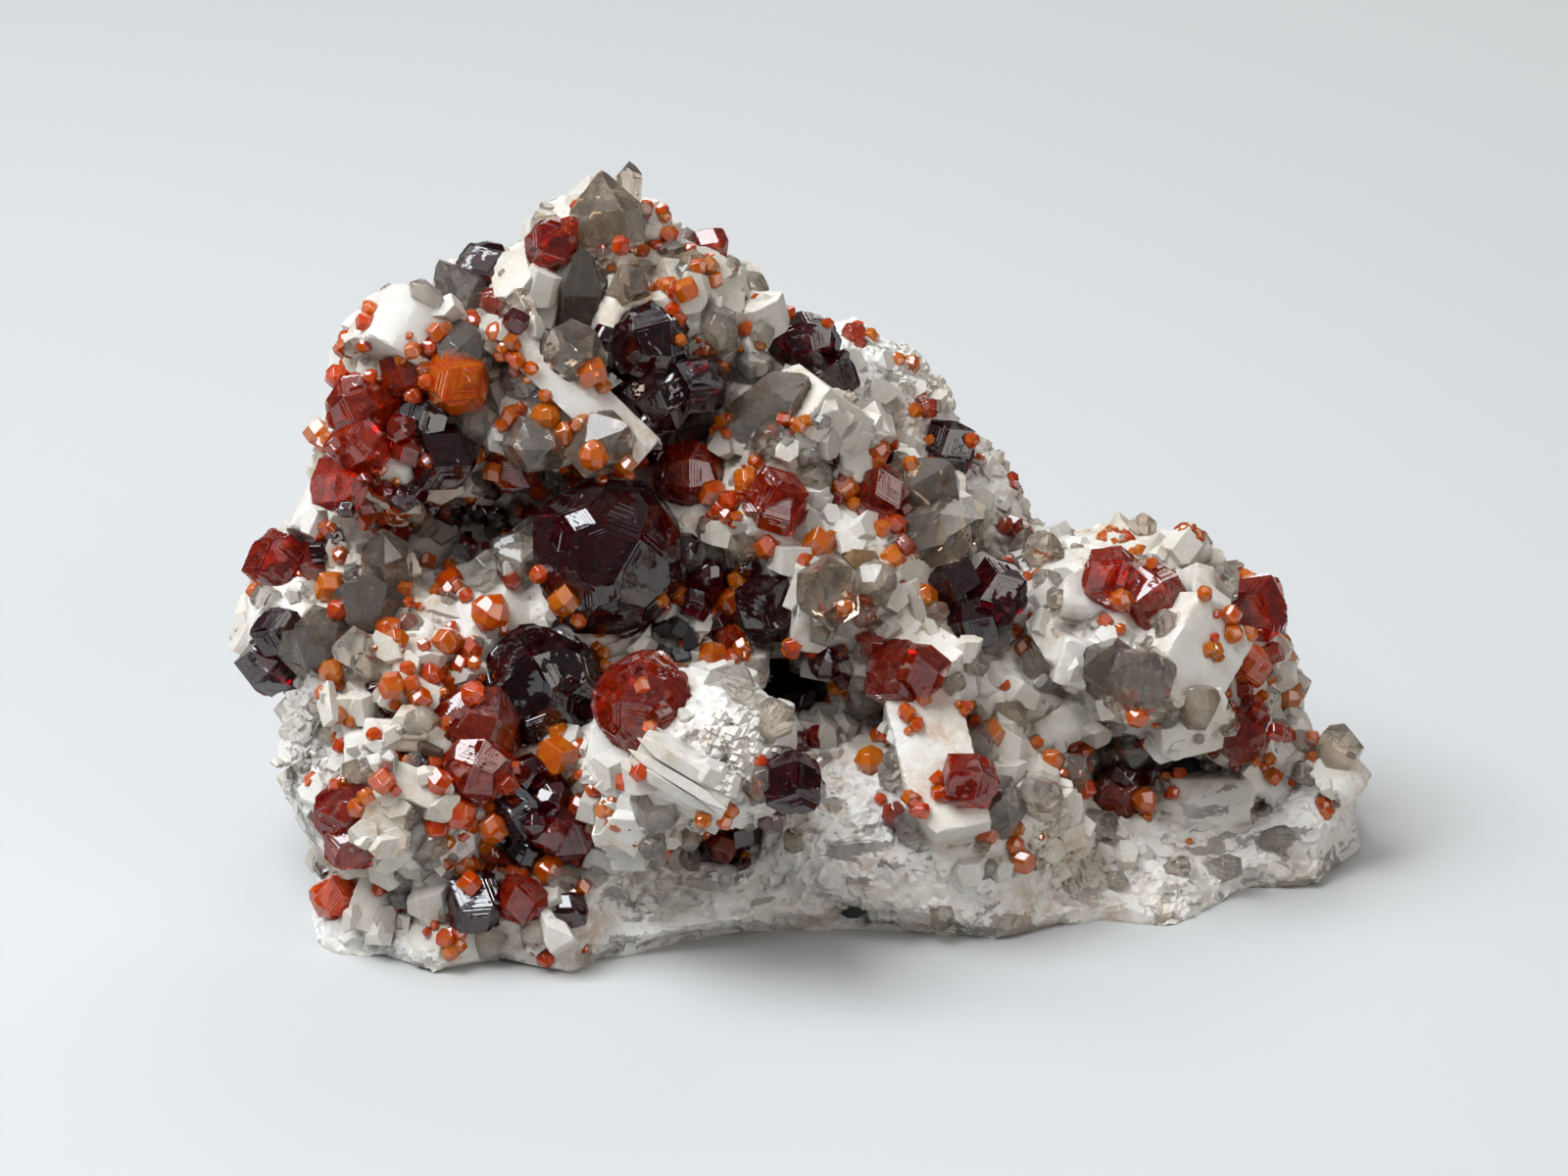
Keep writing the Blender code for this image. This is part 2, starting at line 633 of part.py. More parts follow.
def material(name, colour, roughness, transmission=0.0):
    """A plain finish: its colour, roughness and how much light passes through."""
    made = bpy.data.materials.new(name)
    made.use_nodes = True
    shader = made.node_tree.nodes["Principled BSDF"]
    shader.inputs["Base Color"].default_value = (*colour, 1.0)
    shader.inputs["Roughness"].default_value = roughness
    shader.inputs["Metallic"].default_value = 0.0
    shader.inputs["Transmission Weight"].default_value = transmission
    return made


def make_crystals(collection, helpers, surface):
    """Every garnet and quartz node, and for each the slightly larger shape that its pocket takes."""
    rng = random.Random(SEED + 1)
    tints = {
        "dark": material("dark_garnet", (0.09, 0.012, 0.014), 0.12, 0.6),
        "red": material("red_garnet", (0.45, 0.035, 0.015), 0.12, 0.7),
        "orange": material("orange_garnet", (0.80, 0.20, 0.03), 0.12, 0.8),
    }
    smoky = material("smoky_quartz", (0.42, 0.37, 0.33), 0.08, 0.9)
    nodes = []
    for name, (tint, members) in GARNETS.items():
        bodies, pockets, placed = [], [], []
        for photo_x, photo_y, diameter in members:
            radius = diameter / 2 * MM
            centre = surface.proud(photo_x, photo_y, GARNET_CLEARANCE * radius)
            centre = leaned(centre, radius, view_ray(photo_x, photo_y)[1], placed)
            placed.append((centre, radius))
            rotation = corner_turn(*GARNET_POSES[name]) if name in GARNET_POSES else random_turn(rng)
            bodies.append(garnet_shape(radius, 0.0, rotation, centre))
            pockets.append(garnet_shape(radius, SEAT_GAP, rotation, centre))
        nodes.append(seat(name, bodies, pockets, tints[tint], collection, helpers))
    for name, (photo_x, photo_y, width, length, pointing) in QUARTZ.items():
        upright = in_view(pointing).to_track_quat("Z", "Y").to_matrix()
        rotation = upright @ Matrix.Rotation(rng.uniform(0, 1), 3, "Z")
        centre = surface.proud(photo_x, photo_y, QUARTZ_CLEARANCE * width * MM)
        body = quartz_shape(width * MM, length * MM, 0.0, rotation, centre)
        pocket = quartz_shape(width * MM, length * MM, SEAT_GAP, rotation, centre)
        nodes.append(seat(name, [body], [pocket], smoky, collection, helpers))
    return nodes


def grown_together(name, bodies, collection):
    """One solid of the bodies that grew into each other."""
    whole = new_object(name, to_mesh(name, bodies[0]), collection)
    for body in bodies[1:]:
        other = new_object("joining", to_mesh("joining", body), collection)
        boolean(whole, other, "UNION")
        bpy.data.objects.remove(other)
    return whole


def seat(name, bodies, pockets, finish, collection, helpers):
    """One crystal or cluster as a single solid, and its pocket as a helper."""
    whole = grown_together(name, bodies, collection)
    whole.data.materials.clear()
    whole.data.materials.append(finish)
    return whole, grown_together(name + "_pocket", pockets, helpers)


def box(target):
    """The object's lowest and highest place along each axis."""
    places = [vertex.co for vertex in target.data.vertices]
    return [(min(side), max(side)) for side in zip(*places)]


def boxes_meet(first, second):
    """Whether the boxes round two objects overlap."""
    return all(a[0] < b[1] and b[0] < a[1] for a, b in zip(box(first), box(second)))


def part_neighbours(nodes):
    """Where two crystals meet, the later one is cut away round the earlier."""
    for later, (crystal, _) in enumerate(nodes):
        for _, pocket in nodes[:later]:
            if boxes_meet(crystal, pocket):
                boolean(crystal, pocket, "DIFFERENCE")
                keep_largest_body(crystal)


def main():
    for old in list(bpy.data.objects):
        bpy.data.objects.remove(old)
    specimen = bpy.data.collections.new("spessartine_on_feldspar")
    helpers = bpy.data.collections.new("cutters")
    for collection in (specimen, helpers):
        bpy.context.scene.collection.children.link(collection)
    rock = build_rock(specimen, helpers)
    add_blocks(rock, Surface(rock), helpers)
    cut_flat(rock, helpers)
    nodes = make_crystals(specimen, helpers, Surface(rock))
    for _, pocket in nodes:
        boolean(rock, pocket, "DIFFERENCE")
    keep_largest_body(rock)
    rock.data.materials.clear()
    rock.data.materials.append(material("feldspar", (0.82, 0.80, 0.76), 0.6))
    part_neighbours(nodes)
    for piece in specimen.objects:
        piece.data.transform(Matrix.Translation(-MIDDLE))
    for helper in helpers.objects:
        helper.hide_render = True
        helper.display_type = "WIRE"


main()
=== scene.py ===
import json
import math
import random
from collections import namedtuple

import bmesh
import bpy
import numpy
from mathutils import Matrix, Vector, noise
from mathutils.bvhtree import BVHTree


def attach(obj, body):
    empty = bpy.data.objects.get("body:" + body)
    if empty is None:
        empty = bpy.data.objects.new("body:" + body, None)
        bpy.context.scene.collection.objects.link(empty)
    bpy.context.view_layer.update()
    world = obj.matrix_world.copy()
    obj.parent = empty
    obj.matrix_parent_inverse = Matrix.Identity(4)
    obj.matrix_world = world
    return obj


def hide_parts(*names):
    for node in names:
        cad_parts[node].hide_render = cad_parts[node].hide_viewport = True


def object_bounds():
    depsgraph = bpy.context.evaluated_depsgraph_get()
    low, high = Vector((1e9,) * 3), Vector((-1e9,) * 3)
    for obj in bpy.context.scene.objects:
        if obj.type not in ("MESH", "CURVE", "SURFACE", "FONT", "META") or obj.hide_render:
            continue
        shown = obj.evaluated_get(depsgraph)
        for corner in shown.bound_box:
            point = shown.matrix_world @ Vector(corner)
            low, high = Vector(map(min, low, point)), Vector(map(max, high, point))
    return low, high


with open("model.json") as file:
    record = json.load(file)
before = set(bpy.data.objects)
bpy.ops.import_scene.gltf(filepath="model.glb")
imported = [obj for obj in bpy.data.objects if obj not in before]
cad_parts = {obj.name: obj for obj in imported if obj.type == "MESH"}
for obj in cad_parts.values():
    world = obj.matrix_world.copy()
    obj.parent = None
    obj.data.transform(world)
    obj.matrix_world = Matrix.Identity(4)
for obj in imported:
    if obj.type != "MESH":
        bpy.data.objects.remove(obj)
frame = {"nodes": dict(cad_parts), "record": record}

CAD_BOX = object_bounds()
MM = 0.001

# The photograph's view of the specimen. Pixels are those of its 1600 x 1200 frame.
PHOTO_SIZE = (1600.0, 1200.0)
PIXELS_PER_MM = 11.4
VIEW_ELEVATION = math.radians(22.0)
VIEW_DISTANCE = 500.0 * MM
AIM = Vector((-2.22, -1.45, 27.0)) * MM
RIGHT = Vector((1.0, 0.0, 0.0))
UP = Vector((0.0, math.sin(VIEW_ELEVATION), math.cos(VIEW_ELEVATION)))
TOWARDS_VIEWER = Vector((0.0, -math.cos(VIEW_ELEVATION), math.sin(VIEW_ELEVATION)))

# The studio's square area lights: name, place and size in metres, power in watts, colour.
LIGHTS = (
    ("key_light", (-0.34, -0.10, 0.62), 0.48, 6.6, (0.91, 0.96, 1.0)),
    ("wide_light", (-0.42, -0.12, 0.70), 1.10, 3.0, (0.92, 0.96, 1.0)),
    ("fill_light", (0.55, -0.50, 0.35), 0.50, 1.8, (1.0, 0.97, 0.93)),
    ("back_light", (0.15, 0.60, 0.45), 0.40, 1.2, (1.0, 0.98, 0.96)),
)
SKY_COLOUR = (0.92, 0.95, 1.0, 1.0)
SKY_STRENGTH = (0.04, 0.25)
FLOOR_SIZE = 6.0
FLOOR_COLOUR = (0.52, 0.52, 0.515, 1.0)
FLOOR_ROUGHNESS = 0.8

# Feldspar's colours: its whites, with a chalk white of broken rock that is partly painted light, the grey
# quartz in it, its stains and the painted dark shade of its hollows.
CREAM = (0.62, 0.565, 0.48, 1.0)
MILKY = (0.68, 0.655, 0.61, 1.0)
BUFF = (0.46, 0.42, 0.36, 1.0)
SUGAR = (0.80, 0.79, 0.77, 1.0)
# Chalk white of broken rock, whitened further as painted light for the dimly lit broken wall.
CHALK_AND_PAINTED_LIGHT = (0.80, 0.785, 0.755, 1.0)
GREY_QUARTZ = (0.21, 0.195, 0.18, 1.0)
RUSTY_STAIN = (0.45, 0.27, 0.13, 1.0)
FOOT_STAIN = (0.36, 0.26, 0.17, 1.0)
# Painted dark shade, for where the rock closes in.
PAINTED_HOLLOW_SHADE = (0.075, 0.038, 0.022, 1.0)

# The clear crystals: their deepest and brightest colour, IOR, transmission, absorption colour and
# density, strength of growth lines, and share of light scattered inside.
Gem = namedtuple("Gem", "deep bright ior clearness absorbed density striae glow")
GEMS = {
    "dark": Gem((0.05, 0.004, 0.017), (0.35, 0.017, 0.035), 1.80, 0.93, (0.80, 0.06, 0.26), 500.0, 0.9, 0.0),
    "red": Gem((0.42, 0.012, 0.006), (1.0, 0.12, 0.015), 1.80, 0.82, (0.97, 0.40, 0.10), 350.0, 0.8, 0.6),
    "orange": Gem((0.93, 0.075, 0.003), (1.0, 0.26, 0.005), 1.80, 0.60, (0.99, 0.72, 0.26), 200.0, 0.3, 0.6),
    "quartz": Gem((0.76, 0.63, 0.50), (0.98, 0.94, 0.89), 1.545, 0.92, (0.74, 0.58, 0.42), 95.0, 0.4, 0.0),
}
CRYSTAL_ROUGHNESS = 0.03
CLOUD_SIZE = 0.8 * MM
GROWTH_LINE_SPACING = 0.42 * MM
GROWTH_LINE_DEPTH = 0.06 * MM
WAVE_SCALE = 0.36

# The record's material slot for each kind of piece.
SLOTS = {"rust": "feldspar", "black": "feldspar", "block": "feldspar", "feldspar": "feldspar",
         "dark": "dark_garnet", "red": "red_garnet", "orange": "orange_garnet", "quartz": "smoky_quartz"}

# The rock's fine skin: how far its swells, chips and grains stand out where it is broken, and the
# share of that left where crystals line it and on the faces of its own crystals.
ROCK_VOXEL = 0.30 * MM
ROCK_TRIANGLES = 188000
SWELL_SIZE = 4.0 * MM
SWELL_RELIEF = 0.30 * MM
CHIP_SIZE = 1.9 * MM
CHIP_RELIEF = 0.26 * MM
GRAIN_SIZE = 0.75 * MM
GRAIN_RELIEF = 0.15 * MM
LINED_SHARE = 0.6
CRYSTAL_FACE_SHARE = 0.07
CRYSTAL_EDGE = math.radians(38.0)
SHADED_EDGE = math.radians(32.0)

# The rock is bare behind this depth, below this height, and where it slopes this much to the back. It
# is taken as lined where it faces away from the viewer by more than the last value.
BARE_BEHIND = 17 * MM
BARE_BELOW = 2 * MM
BARE_SLOPE = 0.55
OUT_OF_VIEW = -0.2

# How shelter is felt for: the number of short lines, how far above the surface they start, their reach.
SHELTER_LINES = 6
SHELTER_START = 0.3 * MM
SHELTER_REACH = 7.0 * MM

# A solid's triangles are merged into the flat faces that they make up.
WELD_DISTANCE = 0.002 * MM
FLAT_ANGLE = math.radians(1.0)

# The crystals that stand in for the solids fill the 0.3 mm seats round those.
SEAT_FILL = 0.34 * MM
TERRACE_HEIGHT = 0.09 * MM
TERRACED_AREA = 1.6 * MM * MM
OUTSIDE_ROOM = 1.0 * MM
SEED = 11

# The bare broken wall at the lower front, as the photograph shows it.
BARE_WALL = (
    (596, 1000), (600, 915), (655, 885), (745, 880), (800, 838), (840, 790), (880, 768), (915, 790),
    (935, 860), (985, 890), (1045, 895), (1140, 900), (1170, 815), (1240, 800), (1300, 800),
    (1395, 790), (1395, 1000),
)

# Other broken places: the left wall, the slope behind on the right, and the lump in front.
BROKEN_PLACES = (
    ((255, 705), (296, 695), (322, 705), (330, 760), (318, 830), (335, 900), (318, 965), (255, 965)),
    ((848, 345), (935, 350), (1060, 545), (1015, 560), (985, 500), (960, 470), (915, 440), (870, 400)),
    ((700, 705), (745, 690), (795, 705), (812, 760), (790, 830), (745, 845), (700, 800)),
)

# The clean faces of large feldspar crystals: the prism, the ridge and shoulder above, the plate at the
# right and the slab in front.
CLEAN_PLACES = (
    ((915, 695), (992, 700), (1008, 895), (935, 895)),
    ((540, 345), (600, 365), (700, 470), (650, 500), (555, 425)),
    ((350, 300), (440, 296), (450, 340), (360, 392)),
    ((1195, 585), (1262, 590), (1268, 700), (1195, 705)),
    ((1030, 700), (1105, 690), (1105, 745), (1035, 755)),
    ((640, 750), (690, 740), (760, 830), (700, 850)),
    ((1160, 815), (1240, 790), (1300, 800), (1160, 890)),
)

Garnet = namedtuple("Garnet", "photo_x photo_y diameter tint", defaults=["orange"])
Quartz = namedtuple("Quartz", "photo_x photo_y width length angle towards", defaults=[0.8])
Block = namedtuple("Block", "photo_x photo_y width height depth roll")

# Small garnets, each where it is seen, with its diameter in mm and its tint where that isn't orange.
SMALL_GARNETS = [Garnet(*row) for row in (
    # The middle mass and its slopes.
    (620, 348, 2.4, "dark"), (622, 395, 1.8, "dark"), (762, 492, 2.4), (747, 510, 2.1), (860, 493, 3.0),
    (893, 460, 2.3), (912, 535, 1.8), (835, 558, 2.7), (785, 555, 2.3), (925, 520, 1.8, "red"),
    (920, 557, 2.1, "red"), (757, 592, 2.2), (745, 615, 3.0), (815, 722, 1.4), (843, 675, 3.0, "dark"),
    (893, 655, 2.4, "red"), (838, 755, 2.5, "red"), (888, 778, 2.6), (912, 830, 2.3, "red"),
    (958, 797, 1.5), (1005, 854, 2.1), (737, 428, 1.2), (727, 525, 1.0), (753, 527, 1.0), (742, 540, 1.0),
    (752, 547, 1.0), (800, 427, 1.2), (813, 432, 1.2), (930, 475, 1.4), (860, 617, 1.6), (882, 630, 1.8),
    (938, 610, 2.8), (925, 728, 1.6), (983, 727, 0.9), (935, 815, 0.9), (675, 612, 1.4), (700, 615, 1.4),
    (722, 672, 2.8), (760, 671, 1.0), (797, 715, 1.3),
    # The right mass and the foot beside it.
    (1163, 815, 2.5), (1140, 613, 2.1), (1253, 629, 1.9), (1256, 646, 1.8), (1238, 664, 1.6),
    (1268, 703, 1.8, "red"), (1283, 730, 1.9, "red"), (1298, 746, 2.0, "red"), (1310, 707, 3.0),
    (1012, 748, 2.6), (1047, 653, 0.9), (1060, 588, 1.1), (1163, 565, 1.4), (1175, 577, 1.1),
    (1205, 537, 1.4), (1220, 548, 1.6), (1228, 608, 0.9), (1312, 657, 1.1), (1160, 729, 2.0),
    (1136, 775, 1.2), (1295, 773, 1.3), (1293, 788, 0.9), (1335, 770, 1.3), (1357, 817, 1.1),
    (1040, 876, 2.4),
    # The ridge behind.
    (870, 343, 2.2, "red"), (843, 330, 1.1), (990, 450, 1.4), (945, 417, 1.9, "red"), (928, 372, 1.7),
    (1030, 488, 1.2, "red"), (1033, 537, 2.1, "red"),
    # The shoulder at upper left.
    (437, 390, 1.4), (420, 402, 1.6), (448, 342, 1.8), (420, 358, 1.6), (345, 455, 1.8, "red"),
    (329, 443, 2.4), (413, 438, 2.6, "red"), (415, 462, 2.7, "red"), (437, 470, 1.4, "red"),
    (372, 490, 1.4, "red"), (350, 520, 1.8, "dark"), (375, 515, 1.8, "red"), (390, 525, 1.1),
    (395, 538, 3.0, "red"), (335, 378, 2.1), (343, 357, 1.1), (377, 323, 0.9), (377, 386, 1.4),
    (412, 505, 2.4, "dark"), (503, 480, 1.8),
    # The massif.
    (505, 308, 2.5, "red"), (525, 330, 2.2, "dark"), (482, 328, 1.4), (580, 235, 1.8, "red"),
    (633, 250, 1.8), (658, 216, 1.2), (700, 298, 2.1), (680, 279, 1.1), (721, 272, 1.6),
    (722, 255, 3.0, "red"), (773, 307, 1.1), (716, 353, 1.4), (695, 347, 1.1), (602, 378, 2.6),
    (527, 368, 1.6), (513, 355, 1.1), (557, 427, 2.6), (580, 445, 2.7), (525, 425, 1.8), (608, 462, 2.6),
    (638, 471, 1.6), (615, 493, 1.2), (774, 352, 1.1),
    # The left flank.
    (330, 565, 2.1, "dark"), (352, 567, 1.4), (340, 603, 2.9), (347, 621, 1.9), (265, 607, 1.4, "red"),
    (437, 573, 1.6), (412, 600, 1.4), (415, 615, 1.1), (460, 598, 2.6), (395, 638, 2.4), (403, 656, 2.2),
    (452, 652, 2.6), (478, 667, 2.2), (338, 682, 2.4), (398, 700, 2.3), (438, 692, 2.3), (462, 699, 2.1),
    (483, 710, 2.3), (428, 714, 2.2), (452, 680, 1.2), (500, 625, 3.4), (357, 735, 1.2), (382, 750, 1.4),
    (346, 753, 1.5), (550, 588, 1.7), (578, 611, 2.5), (592, 632, 1.4), (608, 660, 1.1), (615, 680, 1.2),
    # The foot at lower left.
    (390, 798, 2.2), (428, 784, 1.7), (322, 797, 0.8), (343, 803, 1.2), (365, 825, 1.8), (447, 846, 2.3),
    (467, 830, 2.8), (505, 842, 2.7), (500, 868, 1.9, "red"), (475, 880, 2.4), (480, 903, 1.9),
    (468, 954, 1.5), (443, 945, 0.9), (522, 890, 1.4), (400, 928, 1.5), (560, 893, 2.7), (585, 915, 1.4),
    (580, 930, 3.5, "dark"), (565, 965, 1.1), (525, 782, 1.2), (572, 775, 3.6), (565, 850, 3.0, "red"),
    (603, 845, 2.1, "red"), (590, 825, 2.1, "red"), (632, 840, 2.1), (655, 845, 1.2), (719, 833, 1.5),
    (590, 766, 1.9), (570, 745, 1.8), (535, 868, 4.0, "dark"),
    # The dark hollows between the masses, whose garnets are mostly given the dark tint, partly as painted
    # shade.
    (700, 560, 3.0, "dark"), (716, 585, 3.4, "dark"), (708, 618, 2.8, "dark"), (728, 640, 2.6, "dark"),
    (742, 655, 2.4, "red"), (828, 690, 3.0, "dark"), (822, 722, 3.2, "dark"), (812, 760, 2.8, "dark"),
    (800, 800, 2.6, "dark"), (785, 828, 2.8, "dark"), (757, 852, 3.0, "dark"), (735, 860, 2.4, "red"),
    (718, 850, 1.8), (540, 790, 3.0, "dark"), (560, 815, 3.2, "dark"), (545, 840, 2.4, "dark"),
    (515, 800, 1.8, "red"), (420, 500, 2.4, "dark"), (440, 515, 2.6, "dark"), (462, 530, 2.4, "dark"),
    (488, 520, 2.2, "dark"), (512, 535, 2.2, "dark"), (455, 500, 1.6, "red"), (530, 545, 1.6),
    (480, 505, 1.4), (395, 500, 2.0, "red"), (405, 525, 1.6), (1100, 762, 2.0), (1120, 785, 2.6, "dark"),
    (1145, 792, 2.6, "dark"), (1175, 795, 2.2, "dark"), (1090, 775, 1.8, "red"), (655, 700, 1.4),
)]

# Quartz, each where it is seen, with its size in mm, the angle at which it points in the picture, in
# degrees, and how far it leans towards the viewer where that isn't the usual 0.8.
SMALL_QUARTZ = [Quartz(*row) for row in (
    # The massif and its shoulder.
    (435, 300, 1.8, 3.4, 150, 0.3), (392, 405, 2.0, 3.0, 70), (578, 315, 4.4, 5.6, 100),
    (640, 295, 3.4, 4.2, 60), (678, 262, 2.2, 4.2, 10, 0.6), (703, 282, 2.4, 3.2, 60),
    (765, 297, 2.6, 3.2, 70, 0.5), (733, 337, 3.8, 4.4, 110, 1.0), (760, 375, 3.6, 5.0, 20),
    (775, 342, 2.2, 2.6, 70), (535, 388, 3.2, 4.6, 10), (487, 430, 3.2, 3.8, 60, 0.9),
    (450, 415, 2.8, 3.6, 30), (690, 385, 2.2, 3.0, 80, 0.9), (475, 330, 2.0, 3.2, 45),
    (505, 365, 2.0, 3.0, 20), (620, 268, 1.8, 2.6, 95, 0.6), (655, 222, 1.6, 2.6, 80, 0.3),
    # The middle mass.
    (785, 452, 3.0, 4.6, 40, 0.7), (822, 468, 1.8, 2.8, 30), (832, 493, 2.8, 3.6, 90, 0.7),
    (888, 598, 3.6, 5.4, 60), (840, 640, 2.2, 3.2, 80), (760, 560, 2.6, 3.4, 100),
    (730, 565, 2.2, 3.0, 120), (940, 560, 1.8, 3.4, 20, 0.5), (915, 480, 2.2, 3.4, 50, 0.7),
    (800, 600, 2.2, 3.4, 100), (700, 570, 3.0, 4.0, 70, 0.9), (745, 700, 3.0, 4.2, 20),
    (790, 740, 3.2, 4.4, 80, 0.9), (775, 800, 2.4, 3.4, 60, 0.9), (670, 820, 4.0, 4.8, 100, 0.9),
    (885, 715, 3.4, 4.0, 80), (913, 795, 2.2, 4.4, 100, 0.7), (930, 848, 3.0, 4.6, 90, 0.6),
    (810, 858, 1.6, 2.2, 90),
    # The right mass and the foot beside it.
    (1018, 655, 2.8, 3.6, 80), (1055, 682, 2.2, 4.2, 95, 0.7), (1068, 602, 2.6, 3.4, 80, 0.7),
    (1062, 570, 3.6, 4.4, 60, 0.5), (1222, 722, 3.2, 4.0, 80, 0.9), (1060, 820, 3.8, 5.0, 100),
    (1118, 848, 3.4, 3.2, 60, 0.9), (1135, 765, 4.0, 6.8, 10, 0.6), (1000, 760, 2.8, 3.8, 70),
    (1030, 735, 2.6, 3.4, 110), (1090, 790, 3.0, 4.0, 60), (1250, 595, 2.2, 4.0, 100, 0.5),
    (1303, 857, 2.2, 3.0, 30, 0.9), (1200, 886, 1.8, 2.8, 10, 0.9), (1247, 888, 2.6, 3.6, 20, 0.9),
    (1165, 545, 2.4, 3.4, 90, 0.4), (1000, 947, 2.4, 2.8, 60), (960, 935, 2.0, 2.6, 90),
    (1365, 765, 3.6, 4.0, 60, 0.4), (1315, 700, 2.4, 3.6, 20, 0.3), (1190, 640, 2.0, 3.2, 80),
    # The left flank and the foot at lower left.
    (385, 612, 4.0, 7.2, 160, 0.6), (530, 575, 5.0, 5.6, 90), (425, 738, 2.8, 3.8, 10, 0.7),
    (340, 640, 3.6, 6.0, 150, 0.6), (372, 668, 3.4, 5.6, 140, 0.7), (310, 668, 3.0, 5.0, 130, 0.6),
    (330, 840, 2.0, 3.6, 95, 0.6), (412, 905, 2.4, 4.6, 100), (440, 865, 2.8, 3.6, 45),
    (500, 590, 3.2, 4.6, 120), (545, 545, 2.4, 3.2, 140, 0.7), (470, 575, 2.2, 3.4, 110),
    (600, 700, 2.0, 3.0, 90), (575, 905, 2.8, 4.0, 100), (545, 955, 2.2, 3.4, 80),
    (500, 960, 2.4, 3.2, 60), (360, 790, 1.8, 2.8, 100), (455, 935, 2.0, 3.0, 70),
)]

